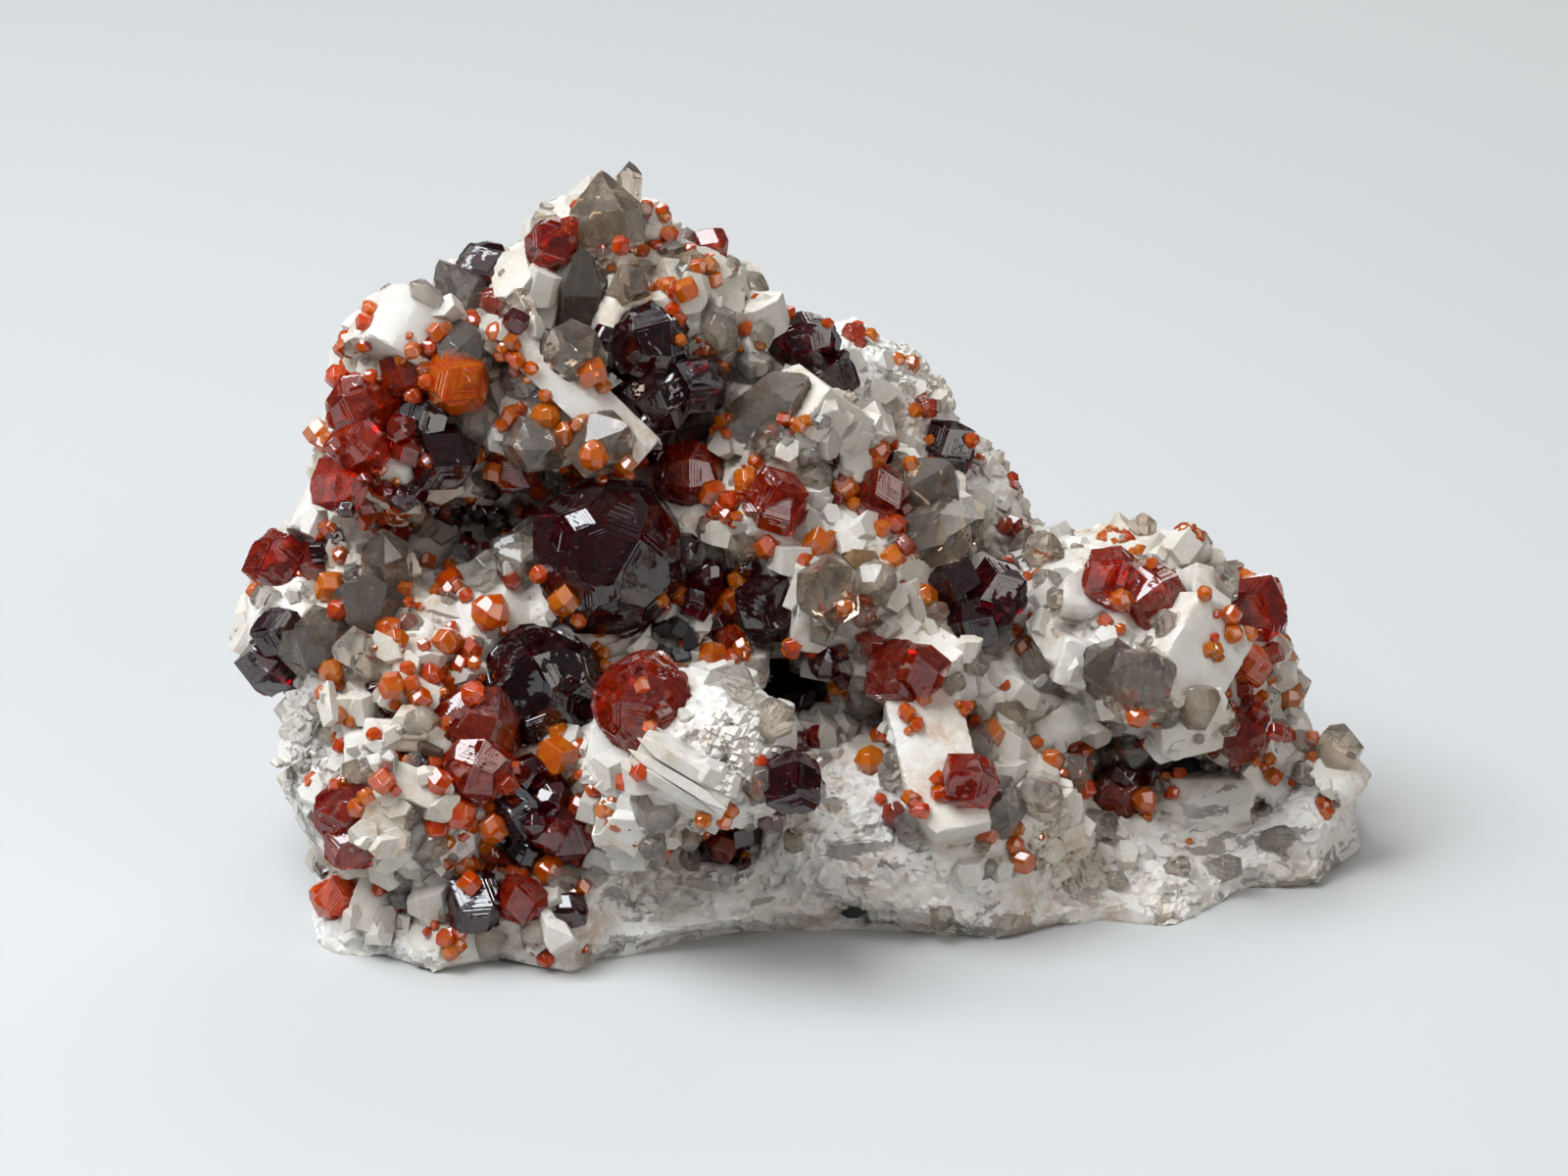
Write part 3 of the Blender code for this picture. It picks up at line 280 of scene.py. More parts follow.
# Feldspar crystals beside those of the solid, each where it is seen, with its size in mm and its roll.
SMALL_BLOCKS = [Block(*row) for row in (
    # The massif and its shoulder.
    (655, 265, 3.4, 2.6, 2.4, 20), (500, 335, 3.4, 3.0, 2.6, -20), (505, 400, 2.6, 3.4, 2.4, 15),
    (510, 448, 2.6, 3.0, 2.4, -25), (615, 485, 4.4, 2.0, 2.4, 10), (600, 325, 1.4, 4.6, 2.0, -12),
    (640, 325, 1.3, 4.0, 2.0, 12), (660, 340, 4.0, 1.3, 2.0, -10), (735, 275, 3.0, 2.4, 2.2, 30),
    (750, 310, 1.6, 3.4, 2.0, -30), (697, 335, 3.2, 1.4, 2.0, 25), (745, 360, 3.6, 1.6, 2.2, -20),
    (575, 262, 3.0, 3.4, 2.4, 10), (530, 300, 2.4, 2.8, 2.2, -15), (495, 322, 2.2, 2.0, 2.0, 30),
    (690, 262, 2.6, 1.8, 2.0, 10), (625, 240, 3.0, 1.8, 2.2, -10), (470, 415, 2.2, 2.6, 2.2, 20),
    (560, 350, 2.4, 2.8, 2.4, 40), (545, 335, 2.0, 2.4, 2.0, 5),
    # The middle mass.
    (705, 443, 3.8, 2.6, 2.6, 20), (688, 450, 2.2, 2.4, 2.0, -20), (735, 455, 3.0, 2.2, 2.2, -30),
    (868, 553, 3.2, 2.6, 2.4, 12), (913, 612, 2.2, 3.0, 2.2, -20), (875, 500, 2.6, 2.2, 2.2, 30),
    (845, 470, 2.6, 1.6, 2.0, 10), (770, 470, 2.2, 2.6, 2.0, 15), (720, 455, 1.6, 2.8, 2.0, -8),
    (790, 580, 1.8, 3.2, 2.2, 20), (812, 600, 2.0, 4.4, 2.4, -18), (850, 655, 2.4, 1.8, 2.0, 30),
    (905, 575, 2.6, 2.0, 2.2, -12), (800, 455, 2.0, 2.6, 2.0, -30), (760, 690, 2.8, 2.4, 2.2, 25),
    (735, 640, 3.0, 2.2, 2.2, -35), (713, 635, 2.4, 2.6, 2.2, 10), (835, 440, 3.0, 1.6, 2.0, -20),
    (860, 430, 2.4, 1.8, 2.0, 15), (700, 425, 2.6, 1.6, 2.0, -10),
    # The ridge behind.
    (900, 400, 3.2, 2.4, 2.4, -20), (1000, 510, 3.0, 2.8, 2.4, 15), (935, 400, 2.4, 2.0, 2.0, 40),
    (870, 372, 3.0, 2.4, 2.2, -15), (905, 370, 2.8, 2.0, 2.0, 10), (1010, 480, 2.2, 2.4, 2.0, -30),
    # The right mass.
    (1040, 636, 3.2, 2.4, 2.4, 10), (1195, 682, 2.8, 3.0, 2.6, -24), (1130, 725, 3.0, 2.4, 2.4, 20),
    (1243, 715, 2.2, 3.4, 2.2, 12), (1100, 565, 4.6, 1.8, 2.4, -8), (1150, 545, 3.2, 2.0, 2.2, 15),
    (1190, 548, 3.0, 2.2, 2.2, -25), (1085, 590, 2.6, 1.8, 2.2, 10), (1060, 635, 1.6, 2.8, 2.0, -15),
    (1130, 650, 2.4, 2.8, 2.2, 35), (1240, 575, 2.0, 3.2, 2.2, -10), (1265, 655, 2.2, 2.6, 2.2, 20),
    (1290, 680, 2.6, 2.0, 2.2, -20), (1175, 720, 2.4, 2.0, 2.2, 0), (1020, 690, 2.2, 2.8, 2.2, 25),
    (1095, 822, 2.8, 2.6, 2.4, -30), (1100, 865, 3.2, 2.4, 2.0, 15), (1125, 870, 2.6, 2.0, 2.0, -20),
    (1075, 870, 2.6, 2.2, 2.0, 30), (1180, 800, 3.0, 1.6, 2.2, 10), (1330, 775, 3.0, 2.2, 2.4, -15),
    (1300, 765, 2.6, 3.0, 2.4, 35), (1285, 650, 1.8, 2.4, 2.0, 5),
    # The left flank and the foot at lower left.
    (440, 588, 3.6, 1.8, 2.2, 12), (455, 622, 5.2, 2.0, 2.6, -8), (455, 648, 3.0, 1.6, 2.0, 15),
    (445, 672, 4.0, 1.5, 2.0, -10), (415, 678, 2.4, 2.6, 2.2, 20), (372, 725, 2.8, 3.2, 2.4, 8),
    (335, 715, 1.4, 4.2, 2.2, 8), (322, 722, 1.2, 3.6, 2.0, -6), (300, 700, 1.4, 4.4, 2.2, -14),
    (470, 860, 2.6, 3.2, 2.4, -28), (632, 680, 3.6, 2.8, 2.6, 18), (595, 740, 2.4, 3.2, 2.4, -20),
    (625, 800, 3.0, 2.0, 2.2, 10), (635, 825, 2.6, 2.2, 2.2, -25), (678, 853, 3.6, 1.8, 2.2, -12),
    (400, 880, 2.4, 3.4, 2.4, -36), (405, 855, 2.2, 2.4, 2.2, 20), (450, 905, 2.4, 3.0, 2.2, 35),
    (425, 925, 2.6, 2.2, 2.2, -15), (350, 745, 2.2, 2.8, 2.2, 25), (390, 760, 3.0, 1.4, 2.2, -5),
    (440, 770, 2.8, 1.6, 2.2, -25), (405, 825, 2.6, 2.0, 2.2, 10), (345, 775, 1.8, 2.8, 2.2, -20),
    (375, 560, 2.4, 1.8, 2.0, 20), (415, 545, 1.8, 2.6, 2.0, -35), (450, 545, 2.0, 2.4, 2.0, 30),
    (325, 535, 3.0, 3.4, 2.6, -24), (310, 560, 2.2, 2.6, 2.2, 15), (520, 690, 3.4, 1.8, 2.2, -30),
    (470, 690, 2.6, 1.6, 2.0, 10), (430, 735, 3.4, 1.6, 2.2, -10), (510, 905, 1.6, 3.8, 2.2, 8),
    (485, 860, 1.8, 2.4, 2.0, -15), (365, 700, 2.2, 2.0, 2.0, 40), (560, 945, 3.0, 3.2, 2.2, -30),
    (655, 660, 2.6, 2.2, 2.2, 10), (610, 640, 2.2, 2.6, 2.2, -15), (725, 790, 3.0, 2.0, 2.2, -30),
)]

# The long cleavage bars on the broken lump in front.
CLEAVAGE_BARS = [Block(*row) for row in (
    (699, 784, 8.4, 1.2, 1.6, -31), (692, 795, 9.0, 1.2, 2.2, -31), (688, 806, 8.2, 1.1, 1.8, -31),
)]

# A rusty brown crystal, and black ones in the hollows.
RUSTY_BLOCKS = [Block(880, 570, 3.0, 2.1, 2.2, -4)]
BLACK_BLOCKS = [Block(*row) for row in (
    (676, 640, 2.2, 1.8, 2.4, 30), (668, 654, 1.8, 2.4, 2.4, 0), (676, 668, 2.4, 1.6, 2.4, -25),
    (697, 668, 2.2, 1.8, 2.4, 20), (704, 652, 1.6, 2.4, 2.4, 5), (694, 637, 2.2, 1.6, 2.4, -30),
    (1250, 590, 2.6, 3.4, 2.6, -15), (1215, 784, 4.2, 2.2, 2.2, 4), (868, 927, 2.8, 1.6, 1.6, -10),
)]

# Sparkling granular patches of the broken feldspar: where, how far across in pixels, how many grains.
Patch = namedtuple("Patch", "photo_x photo_y radius grains")
GRANULAR_PATCHES = [Patch(*row) for row in (
    (1095, 866, 42, 150), (765, 765, 50, 150), (312, 790, 34, 90), (955, 375, 42, 90),
    (1000, 455, 34, 70), (1040, 520, 26, 50), (300, 730, 24, 50),
)]

# How many places on the rock are tried for the small crystals between those, and below which draw, from
# 0 to 1, a place gets a garnet, a quartz or a feldspar crystal: in the open, in a hollow, on broken rock.
LINING_SPOTS = 7000
OPEN_GARNET, OPEN_QUARTZ, OPEN_BLOCK = 0.16, 0.16, 0.48
HOLLOW_GARNET, HOLLOW_QUARTZ, HOLLOW_BLOCK = 0.22, 0.34, 0.42
BROKEN_GARNET, BROKEN_BLOCK = 0.006, 0.035
HOLLOW_SHELTER = 0.6
LINING_FOOT = 2.5 * MM
PATCH_SIZE = 7 * MM
NEIGHBOURHOOD = 8 * MM
NEIGHBOURHOOD_EDGE = 4 * MM


# Camera, lights and floor

def add_camera():
    """The camera stands where the photograph's did and takes in the same frame."""
    data = bpy.data.cameras.new("camera")
    data.sensor_width = 36.0
    data.lens = data.sensor_width * VIEW_DISTANCE / (PHOTO_SIZE[0] / PIXELS_PER_MM * MM)
    data.clip_start = 0.01
    data.clip_end = 20.0
    camera = bpy.data.objects.new("camera", data)
    bpy.context.scene.collection.objects.link(camera)
    camera.location = AIM + TOWARDS_VIEWER * VIEW_DISTANCE
    camera.rotation_mode = "QUATERNION"
    camera.rotation_quaternion = (-TOWARDS_VIEWER).to_track_quat("-Z", "Y")
    bpy.context.scene.camera = camera


def add_light(name, place, size, power, colour):
    """A square area light that faces the specimen."""
    data = bpy.data.lights.new(name, "AREA")
    data.size = size
    data.energy = power
    data.color = colour
    light = bpy.data.objects.new(name, data)
    bpy.context.scene.collection.objects.link(light)
    light.location = place
    light.rotation_mode = "QUATERNION"
    light.rotation_quaternion = (AIM - Vector(place)).to_track_quat("-Z", "Y")


def add_sky():
    """Dim light from all around, brightest from above."""
    world = bpy.data.worlds.new("studio")
    bpy.context.scene.world = world
    world.use_nodes = True
    nodes = world.node_tree.nodes
    links = world.node_tree.links
    upward = nodes.new("ShaderNodeSeparateXYZ")
    links.new(nodes.new("ShaderNodeTexCoord").outputs["Generated"], upward.inputs[0])
    brightness = nodes.new("ShaderNodeMapRange")
    brightness.inputs["To Min"].default_value = SKY_STRENGTH[0]
    brightness.inputs["To Max"].default_value = SKY_STRENGTH[1]
    links.new(upward.outputs["Z"], brightness.inputs["Value"])
    links.new(brightness.outputs["Result"], nodes["Background"].inputs["Strength"])
    nodes["Background"].inputs["Color"].default_value = SKY_COLOUR


def add_floor():
    bpy.ops.mesh.primitive_plane_add(size=FLOOR_SIZE)
    floor = bpy.context.object
    floor.name = "floor"
    finish = bpy.data.materials.new("floor")
    finish.use_nodes = True
    shader = finish.node_tree.nodes["Principled BSDF"]
    shader.inputs["Base Color"].default_value = FLOOR_COLOUR
    shader.inputs["Roughness"].default_value = FLOOR_ROUGHNESS
    floor.data.materials.append(finish)


def set_rendering():
    """Plain display colours, and only as many bounces of light as the crystals need."""
    settings = bpy.context.scene.view_settings
    settings.view_transform = "Standard"
    settings.exposure = 0.0
    cycles = bpy.context.scene.cycles
    cycles.use_denoising = True
    cycles.max_bounces = 6
    cycles.diffuse_bounces = 2
    cycles.glossy_bounces = 3
    cycles.transmission_bounces = 6
    cycles.caustics_reflective = False


# Materials

class Finish:
    """A node material being wired: short names for the nodes that the finishes below share."""

    def __init__(self, name):
        self.material = bpy.data.materials.new(name)
        self.material.use_nodes = True
        self.tree = self.material.node_tree
        self.shader = self.tree.nodes["Principled BSDF"]
        self.place = self.tree.nodes.new("ShaderNodeTexCoord").outputs["Object"]

    def node(self, kind, inputs=None, **settings):
        made = self.tree.nodes.new(kind)
        for key, value in settings.items():
            setattr(made, key, value)
        for key, value in (inputs or {}).items():
            if isinstance(value, bpy.types.NodeSocket):
                self.tree.links.new(value, made.inputs[key])
            else:
                made.inputs[key].default_value = value
        return made

    def noise(self, size, detail=3.0, roughness=0.5, distortion=0.0, place=None):
        """Noise whose blotches are about the given size."""
        inputs = {"Vector": place or self.place, "Scale": 1.0 / size, "Detail": detail,
                  "Roughness": roughness, "Distortion": distortion}
        return self.node("ShaderNodeTexNoise", inputs).outputs["Fac"]

    def between(self, value, low, high, low_out=0.0, high_out=1.0):
        """The value's way from low to high, kept within the two outputs."""
        inputs = {"Value": value, "From Min": low, "From Max": high, "To Min": low_out, "To Max": high_out}
        return self.node("ShaderNodeMapRange", inputs, clamp=True).outputs["Result"]

    def times(self, first, second):
        return self.node("ShaderNodeMath", {0: first, 1: second}, operation="MULTIPLY").outputs[0]

    def mix(self, share, first, second):
        made = self.node("ShaderNodeMix", data_type="RGBA")
        for index, value in ((0, share), (6, first), (7, second)):
            if isinstance(value, bpy.types.NodeSocket):
                self.tree.links.new(value, made.inputs[index])
            else:
                made.inputs[index].default_value = value
        return made.outputs[2]

    def attribute(self, name):
        return self.node("ShaderNodeAttribute", attribute_name=name).outputs["Fac"]

    def wire(self, socket, output):
        self.tree.links.new(output, self.shader.inputs[socket])

    def set(self, **values):
        for key, value in values.items():
            self.shader.inputs[key.replace("_", " ")].default_value = value

    def bump(self, height, depth, strength=1.0):
        inputs = {"Height": height, "Distance": depth, "Strength": strength}
        self.wire("Normal", self.node("ShaderNodeBump", inputs).outputs["Normal"])

    def absorb(self, colour, density):
        made = self.node("ShaderNodeVolumeAbsorption")
        made.inputs["Color"].default_value = (*colour, 1.0)
        made.inputs["Density"].default_value = density
        self.tree.links.new(made.outputs[0], self.tree.nodes["Material Output"].inputs["Volume"])


def whites(made, broken):
    """Warm and cool whites, a tone of its own for each small crystal, sugary grains, and chalky broken rock
    made whiter partly as painted light.
    """
    warmth = made.between(made.noise(7 * MM, 2.0), 0.35, 0.65)
    base = made.mix(warmth, CREAM, MILKY)
    base = made.mix(made.times(made.attribute("tone"), 0.4), base, BUFF)
    sugary = made.between(made.noise(0.5 * MM, 3.0, 0.7), 0.50, 0.68, 0.0, 0.35)
    base = made.mix(sugary, base, SUGAR)
    # Broken rock turns chalk white, whiter than it is partly as painted light on the dimly lit wall.
    return made.mix(made.times(broken, 0.55), base, CHALK_AND_PAINTED_LIGHT)


def stains_and_painted_shade(made, base):
    """Rusty blotches, a brown foot, and painted dark shade where the rock closes in."""
    blotches = made.between(made.noise(8 * MM, 2.0), 0.46, 0.66)
    specks = made.between(made.noise(1.4 * MM, 3.0, 0.7), 0.42, 0.62)
    base = made.mix(made.times(made.times(blotches, specks), 0.55), base, RUSTY_STAIN)
    height = made.node("ShaderNodeSeparateXYZ", {0: made.place}).outputs["Z"]
    low = made.between(height, 2 * MM, 9 * MM, 0.35, 0.0)
    patchy = made.between(made.noise(5 * MM, 3.0, 0.6), 0.45, 0.62)
    base = made.mix(made.times(low, patchy), base, FOOT_STAIN)
    # Painted dark shade, the deeper the more the rock closes in.
    painted_shade = made.between(made.attribute("shelter"), 0.30, 0.85, 0.0, 0.95)
    return made.mix(painted_shade, base, PAINTED_HOLLOW_SHADE)


def feldspar_finish(name, grey):
    """White feldspar with streaks of grey quartz where it is broken, stains, painted dark shade where it
    closes in, and broken rock whitened partly as painted light.
    """
    made = Finish(name)
    broken = made.attribute("broken")
    stretched = made.node("ShaderNodeMapping", {"Vector": made.place, "Scale": (0.5, 1.0, 1.0)}).outputs[0]
    streaks = made.between(made.noise(2.8 * MM, 5.0, 0.66, 0.6, stretched), 0.545, 0.575)
    areas = made.between(made.noise(13 * MM, 2.0), 0.42, 0.56)
    share = made.times(made.times(streaks, areas), made.between(broken, 0.0, 1.0, 0.0, grey))
    base = made.mix(share, whites(made, broken), GREY_QUARTZ)
    made.wire("Base Color", stains_and_painted_shade(made, base))
    made.wire("Roughness", made.between(made.noise(1.2 * MM, 2.0), 0.3, 0.7, 0.38, 0.70))
    made.set(IOR=1.53)
    made.bump(made.noise(0.28 * MM, 3.0, 0.7), 0.09 * MM, 0.7)
    return made.material


def black_finish():
    """Black crystals with a faint lustre."""
    made = Finish("black_crystal_finish")
    made.wire("Base Color", made.mix(made.noise(1.0 * MM), (0.006, 0.006, 0.007, 1.0),
                                     (0.03, 0.028, 0.03, 1.0)))
    made.set(Roughness=0.22)
    made.bump(made.noise(0.5 * MM, 4.0, 0.7), 0.08 * MM)
    return made.material


def rust_finish():
    """Brown crystal with iron stains, ridged along its length."""
    made = Finish("rusty_crystal_finish")
    ridges = made.noise(0.5 * MM, 3.0, 0.6)
    made.wire("Base Color", made.mix(ridges, (0.06, 0.03, 0.012, 1.0), (0.34, 0.19, 0.08, 1.0)))
    made.set(Roughness=0.55)
    made.bump(ridges, 0.1 * MM)
    return made.material


def crystal_finish(name, gem):
    """A clear crystal: plain transmission, IOR and absorption, with growth lines on its faces."""
    made = Finish(name)
    clouds = made.between(made.noise(CLOUD_SIZE, 3.0, 0.6, 0.4), 0.30, 0.70, -0.45, 0.45)
    tone = made.attribute("tone")
    tone = made.node("ShaderNodeMath", {0: tone, 1: clouds}, operation="ADD", use_clamp=True).outputs[0]
    made.wire("Base Color", made.mix(tone, (*gem.deep, 1.0), (*gem.bright, 1.0)))
    made.set(IOR=gem.ior, Transmission_Weight=gem.clearness, Roughness=CRYSTAL_ROUGHNESS)
    made.set(Subsurface_Weight=gem.glow, Subsurface_Scale=CLOUD_SIZE, Subsurface_Radius=gem.bright)
    made.absorb(gem.absorbed, gem.density)
    waves = {"Vector": made.place, "Scale": WAVE_SCALE / GROWTH_LINE_SPACING,
             "Distortion": 0.5, "Detail": 2.0}
    bands = made.node("ShaderNodeTexWave", waves, wave_type="BANDS", bands_direction="DIAGONAL",
                      wave_profile="SAW").outputs["Fac"]
    patches = made.between(made.noise(2.4 * MM, 2.0), 0.47, 0.55, 0.0, gem.striae)
    made.bump(made.times(bands, patches), GROWTH_LINE_DEPTH)
    return made.material


def make_finishes():
    """The finish for each kind of piece."""
    made = {
        "feldspar": feldspar_finish("feldspar_finish", 0.85),
        "block": feldspar_finish("feldspar_crystal_finish", 0.5),
        "rust": rust_finish(),
        "black": black_finish(),
    }
    for kind, gem in GEMS.items():
        made[kind] = crystal_finish(SLOTS[kind] + "_finish", gem)
    return made


# Shapes

def cut_crystal(planes):
    """A crystal: a block trimmed by each face plane, given as (outward normal, distance)."""
    shape = bmesh.new()
    bmesh.ops.create_cube(shape, size=8.0)
    for direction, distance in planes:
        normal = Vector(direction).normalized()
        everything = shape.verts[:] + shape.edges[:] + shape.faces[:]
        cut = bmesh.ops.bisect_plane(
            shape, geom=everything, dist=1e-5, plane_co=normal * distance, plane_no=normal,
            clear_outer=True,
        )
        rim = [item for item in cut["geom_cut"] if isinstance(item, bmesh.types.BMEdge)]
        if rim:
            bmesh.ops.contextual_create(shape, geom=rim)
    bmesh.ops.recalc_face_normals(shape, faces=shape.faces[:])
    return shape


def signed_permutations(indices):
    """Every face of a cubic crystal form, from its Miller indices."""
    faces = set()
    a, b, c = indices
    for order in ((a, b, c), (a, c, b), (b, a, c), (b, c, a), (c, a, b), (c, b, a)):
        for signs in range(8):
            faces.add(tuple(v if not signs >> axis & 1 or v == 0 else -v for axis, v in enumerate(order)))
    return sorted(faces)


def template(shape, bevel):
    """A small crystal's points and faces, with narrow bevels that catch the light."""
    if bevel:
        bmesh.ops.bevel(shape, geom=shape.edges[:], offset=bevel, segments=1, affect="EDGES")
    shape.verts.index_update()
    points = [vertex.co.copy() for vertex in shape.verts]
    faces = [tuple(vertex.index for vertex in face.verts) for face in shape.faces]
    shape.free()
    return points, faces


def garnet_templates(rng, bevel):
    """Garnets of radius 1, each a little unequal, as grown ones are."""
    rhombic = signed_permutations((1, 1, 0))
    trapezoid = signed_permutations((2, 1, 1))
    made = []
    for kind in range(10):
        planes = []
        if kind % 3 != 1:
            planes += [(face, 0.91 * rng.uniform(0.92, 1.06)) for face in rhombic]
        if kind % 3 != 0:
            planes += [(face, 0.95 * rng.uniform(0.94, 1.06)) for face in trapezoid]
        made.append(template(cut_crystal(planes), bevel))
    return made


def quartz_templates(rng):
    """Six-sided points of width 1 and half-length 1 along +Z, with unequal faces."""
    made = []
    slope = math.radians(51.8)
    for _ in range(10):
        planes = [((0, 0, -1), 1.0)]
        for side in range(6):
            turn = math.radians(60 * side + 30)
            across = (math.cos(turn), math.sin(turn))
            planes.append(((*across, rng.uniform(-0.04, 0.04)), 0.5 * rng.uniform(0.86, 1.08)))
            apex = rng.uniform(0.98, 1.10) if side % 2 else rng.uniform(1.08, 1.35)
            facing = (across[0] * math.sin(slope), across[1] * math.sin(slope), math.cos(slope))
            planes.append((facing, apex * math.cos(slope)))
        made.append(template(cut_crystal(planes), 0.02))
    return made


def block_templates(rng):
    """Feldspar crystals of about unit size: rhombic prisms with sloping ends, each a little unequal."""
    made = []
    for _ in range(20):
        planes = []
        for turn in (31, -31, 149, -149, 90, -90):
            turn = math.radians(turn + rng.uniform(-4, 4))
            reach = rng.uniform(0.40, 0.52) if abs(math.cos(turn)) > 0.3 else rng.uniform(0.36, 0.50)
            planes.append(((math.cos(turn), math.sin(turn), rng.uniform(-0.05, 0.05)), reach))
        for sign in (1, -1):
            lean = math.radians(rng.choice((26, 12, -8)) + rng.uniform(-5, 5))
            planes.append(((sign * math.sin(lean), 0.0, sign * math.cos(lean)), rng.uniform(0.38, 0.50)))
            steep = math.radians(rng.uniform(46, 56))
            planes.append(((-sign * math.sin(steep), 0.0, sign * math.cos(steep)), rng.uniform(0.40, 0.60)))
        made.append(template(cut_crystal(planes), 0.02))
    return made


def in_room(point):
    """Whether a point is above the ground and hardly outside the solids' box."""
    low, high = CAD_BOX
    outside = [max(low[axis] - point[axis], point[axis] - high[axis]) for axis in range(3)]
    return point.z >= 0.0 and max(outside) < OUTSIDE_ROOM


class Heap:
    """Many small crystals of one kind, gathered into one mesh."""

    def __init__(self):
        self.points = []
        self.faces = []
        self.tones = []
        self.shelters = []

    def add(self, shape, matrix, tone, shelter_there):
        first = len(self.points)
        points, faces = shape
        points = [matrix @ point for point in points]
        if not all(in_room(point) for point in points):
            return
        self.points.extend(points)
        self.faces.extend(tuple(first + index for index in face) for face in faces)
        self.tones.extend([tone] * len(points))
        self.shelters.extend([shelter_there] * len(points))

    def build(self, name, finish, slot):
        data = bpy.data.meshes.new(name)
        data.from_pydata(self.points, [], self.faces)
        set_values(data, "tone", self.tones)
        # How closed in each crystal sits, which the feldspar finish darkens as painted shade.
        set_values(data, "shelter", self.shelters)
        return add_piece(name, data, finish)


def add_piece(name, data, finish):
    """A visible piece of the specimen, which rides on its one body."""
    piece = bpy.data.objects.new(name, data)
    bpy.context.scene.collection.objects.link(piece)
    data.materials.clear()
    data.materials.append(finish)
    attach(piece, "root")
    return piece


# The rock

def flat_faced(data):
    """The mesh as whole flat faces, to be freed after use."""
    shape = bmesh.new()
    shape.from_mesh(data)
    bmesh.ops.remove_doubles(shape, verts=shape.verts[:], dist=WELD_DISTANCE)
    bmesh.ops.dissolve_limit(shape, angle_limit=FLAT_ANGLE, verts=shape.verts[:], edges=shape.edges[:])
    return shape


def seen_in_photo(point):
    """The photo pixel at which a point of the model is seen."""
    offset = point - AIM
    depth = VIEW_DISTANCE - offset.dot(TOWARDS_VIEWER)
    scale = VIEW_DISTANCE / depth * PIXELS_PER_MM / MM
    return (PHOTO_SIZE[0] / 2 + offset.dot(RIGHT) * scale, PHOTO_SIZE[1] / 2 - offset.dot(UP) * scale)


def in_outline(place, outline):
    """Whether a point of the picture lies inside an outline."""
    x, y = place
    inside = False
    for (ax, ay), (bx, by) in zip(outline, outline[1:] + outline[:1]):
        if (ay > y) != (by > y) and x < (bx - ax) * (y - ay) / (by - ay) + ax:
            inside = not inside
    return inside


def is_broken(point, normal):
    """Whether the rock is bare and broken there: its lower front wall, its back and its base."""
    if point.y > BARE_BEHIND or point.z < BARE_BELOW or normal.y > BARE_SLOPE:
        return True
    if normal.dot(TOWARDS_VIEWER) < OUT_OF_VIEW:
        return False
    place = seen_in_photo(point)
    return any(in_outline(place, outline) for outline in (BARE_WALL, *BROKEN_PLACES))


class CrystalFaces:
    """The faces of the feldspar's own large crystals, told from broken rock by their sharp edges."""

    def __init__(self, data):
        shape = flat_faced(data)
        self.tree = BVHTree.FromBMesh(shape)
        self.found = [self.is_crystal(face) for face in shape.faces]
        shape.free()

    @staticmethod
    def is_crystal(face):
        sharp = 0.0
        for edge in face.edges:
            if len(edge.link_faces) == 2 and edge.calc_face_angle_signed() > CRYSTAL_EDGE:
                sharp += edge.calc_length()
        return len(face.verts) > 3 and sharp > 0.45 * face.calc_perimeter()

    def nearest(self, point):
        """The nearest place on the solid, and whether it is on such a face."""
        place, _, index, _ = self.tree.find_nearest(point)
        return place, self.found[index]


def relief(point):
    """How far the broken rock stands out at a point: swells, flat chips, and grains with cracks."""
    swell = noise.fractal(point / SWELL_SIZE, 1.0, 2.0, 3) * SWELL_RELIEF
    _, chips = noise.voronoi(point / CHIP_SIZE)
    chip = noise.cell(chips[0] * 31.0) * CHIP_RELIEF
    distances, grains = noise.voronoi(point / GRAIN_SIZE)
    crack = math.exp(-7.0 * (distances[1] - distances[0]))
    grain = (noise.cell(grains[0] * 37.0) - 0.9 * crack) * GRAIN_RELIEF
    return swell + chip + grain


def apply_modifiers(target):
    """Replaces the object's mesh by its evaluated one."""
    bpy.context.view_layer.update()
    graph = bpy.context.evaluated_depsgraph_get()
    data = bpy.data.meshes.new_from_object(target.evaluated_get(graph))
    target.modifiers.clear()
    target.data = data


def set_values(data, name, values):
    """Stores a number with each point of the mesh, for its finish to read."""
    attribute = data.attributes.new(name, "FLOAT", "POINT")
    attribute.data.foreach_set("value", values)


def shelter(tree, point, normal):
    """How closed in a point is: the share of short lines outward from it that meet the rock."""
    start = point + normal * SHELTER_START
    side = normal.orthogonal().normalized()
    across = normal.cross(side)
    hits = 0
    for step in range(SHELTER_LINES):
        turn = math.tau * step / SHELTER_LINES
        direction = normal * 0.55 + side * math.cos(turn) + across * math.sin(turn)
        hits += tree.ray_cast(start, direction, SHELTER_REACH)[0] is not None
    return hits / SHELTER_LINES


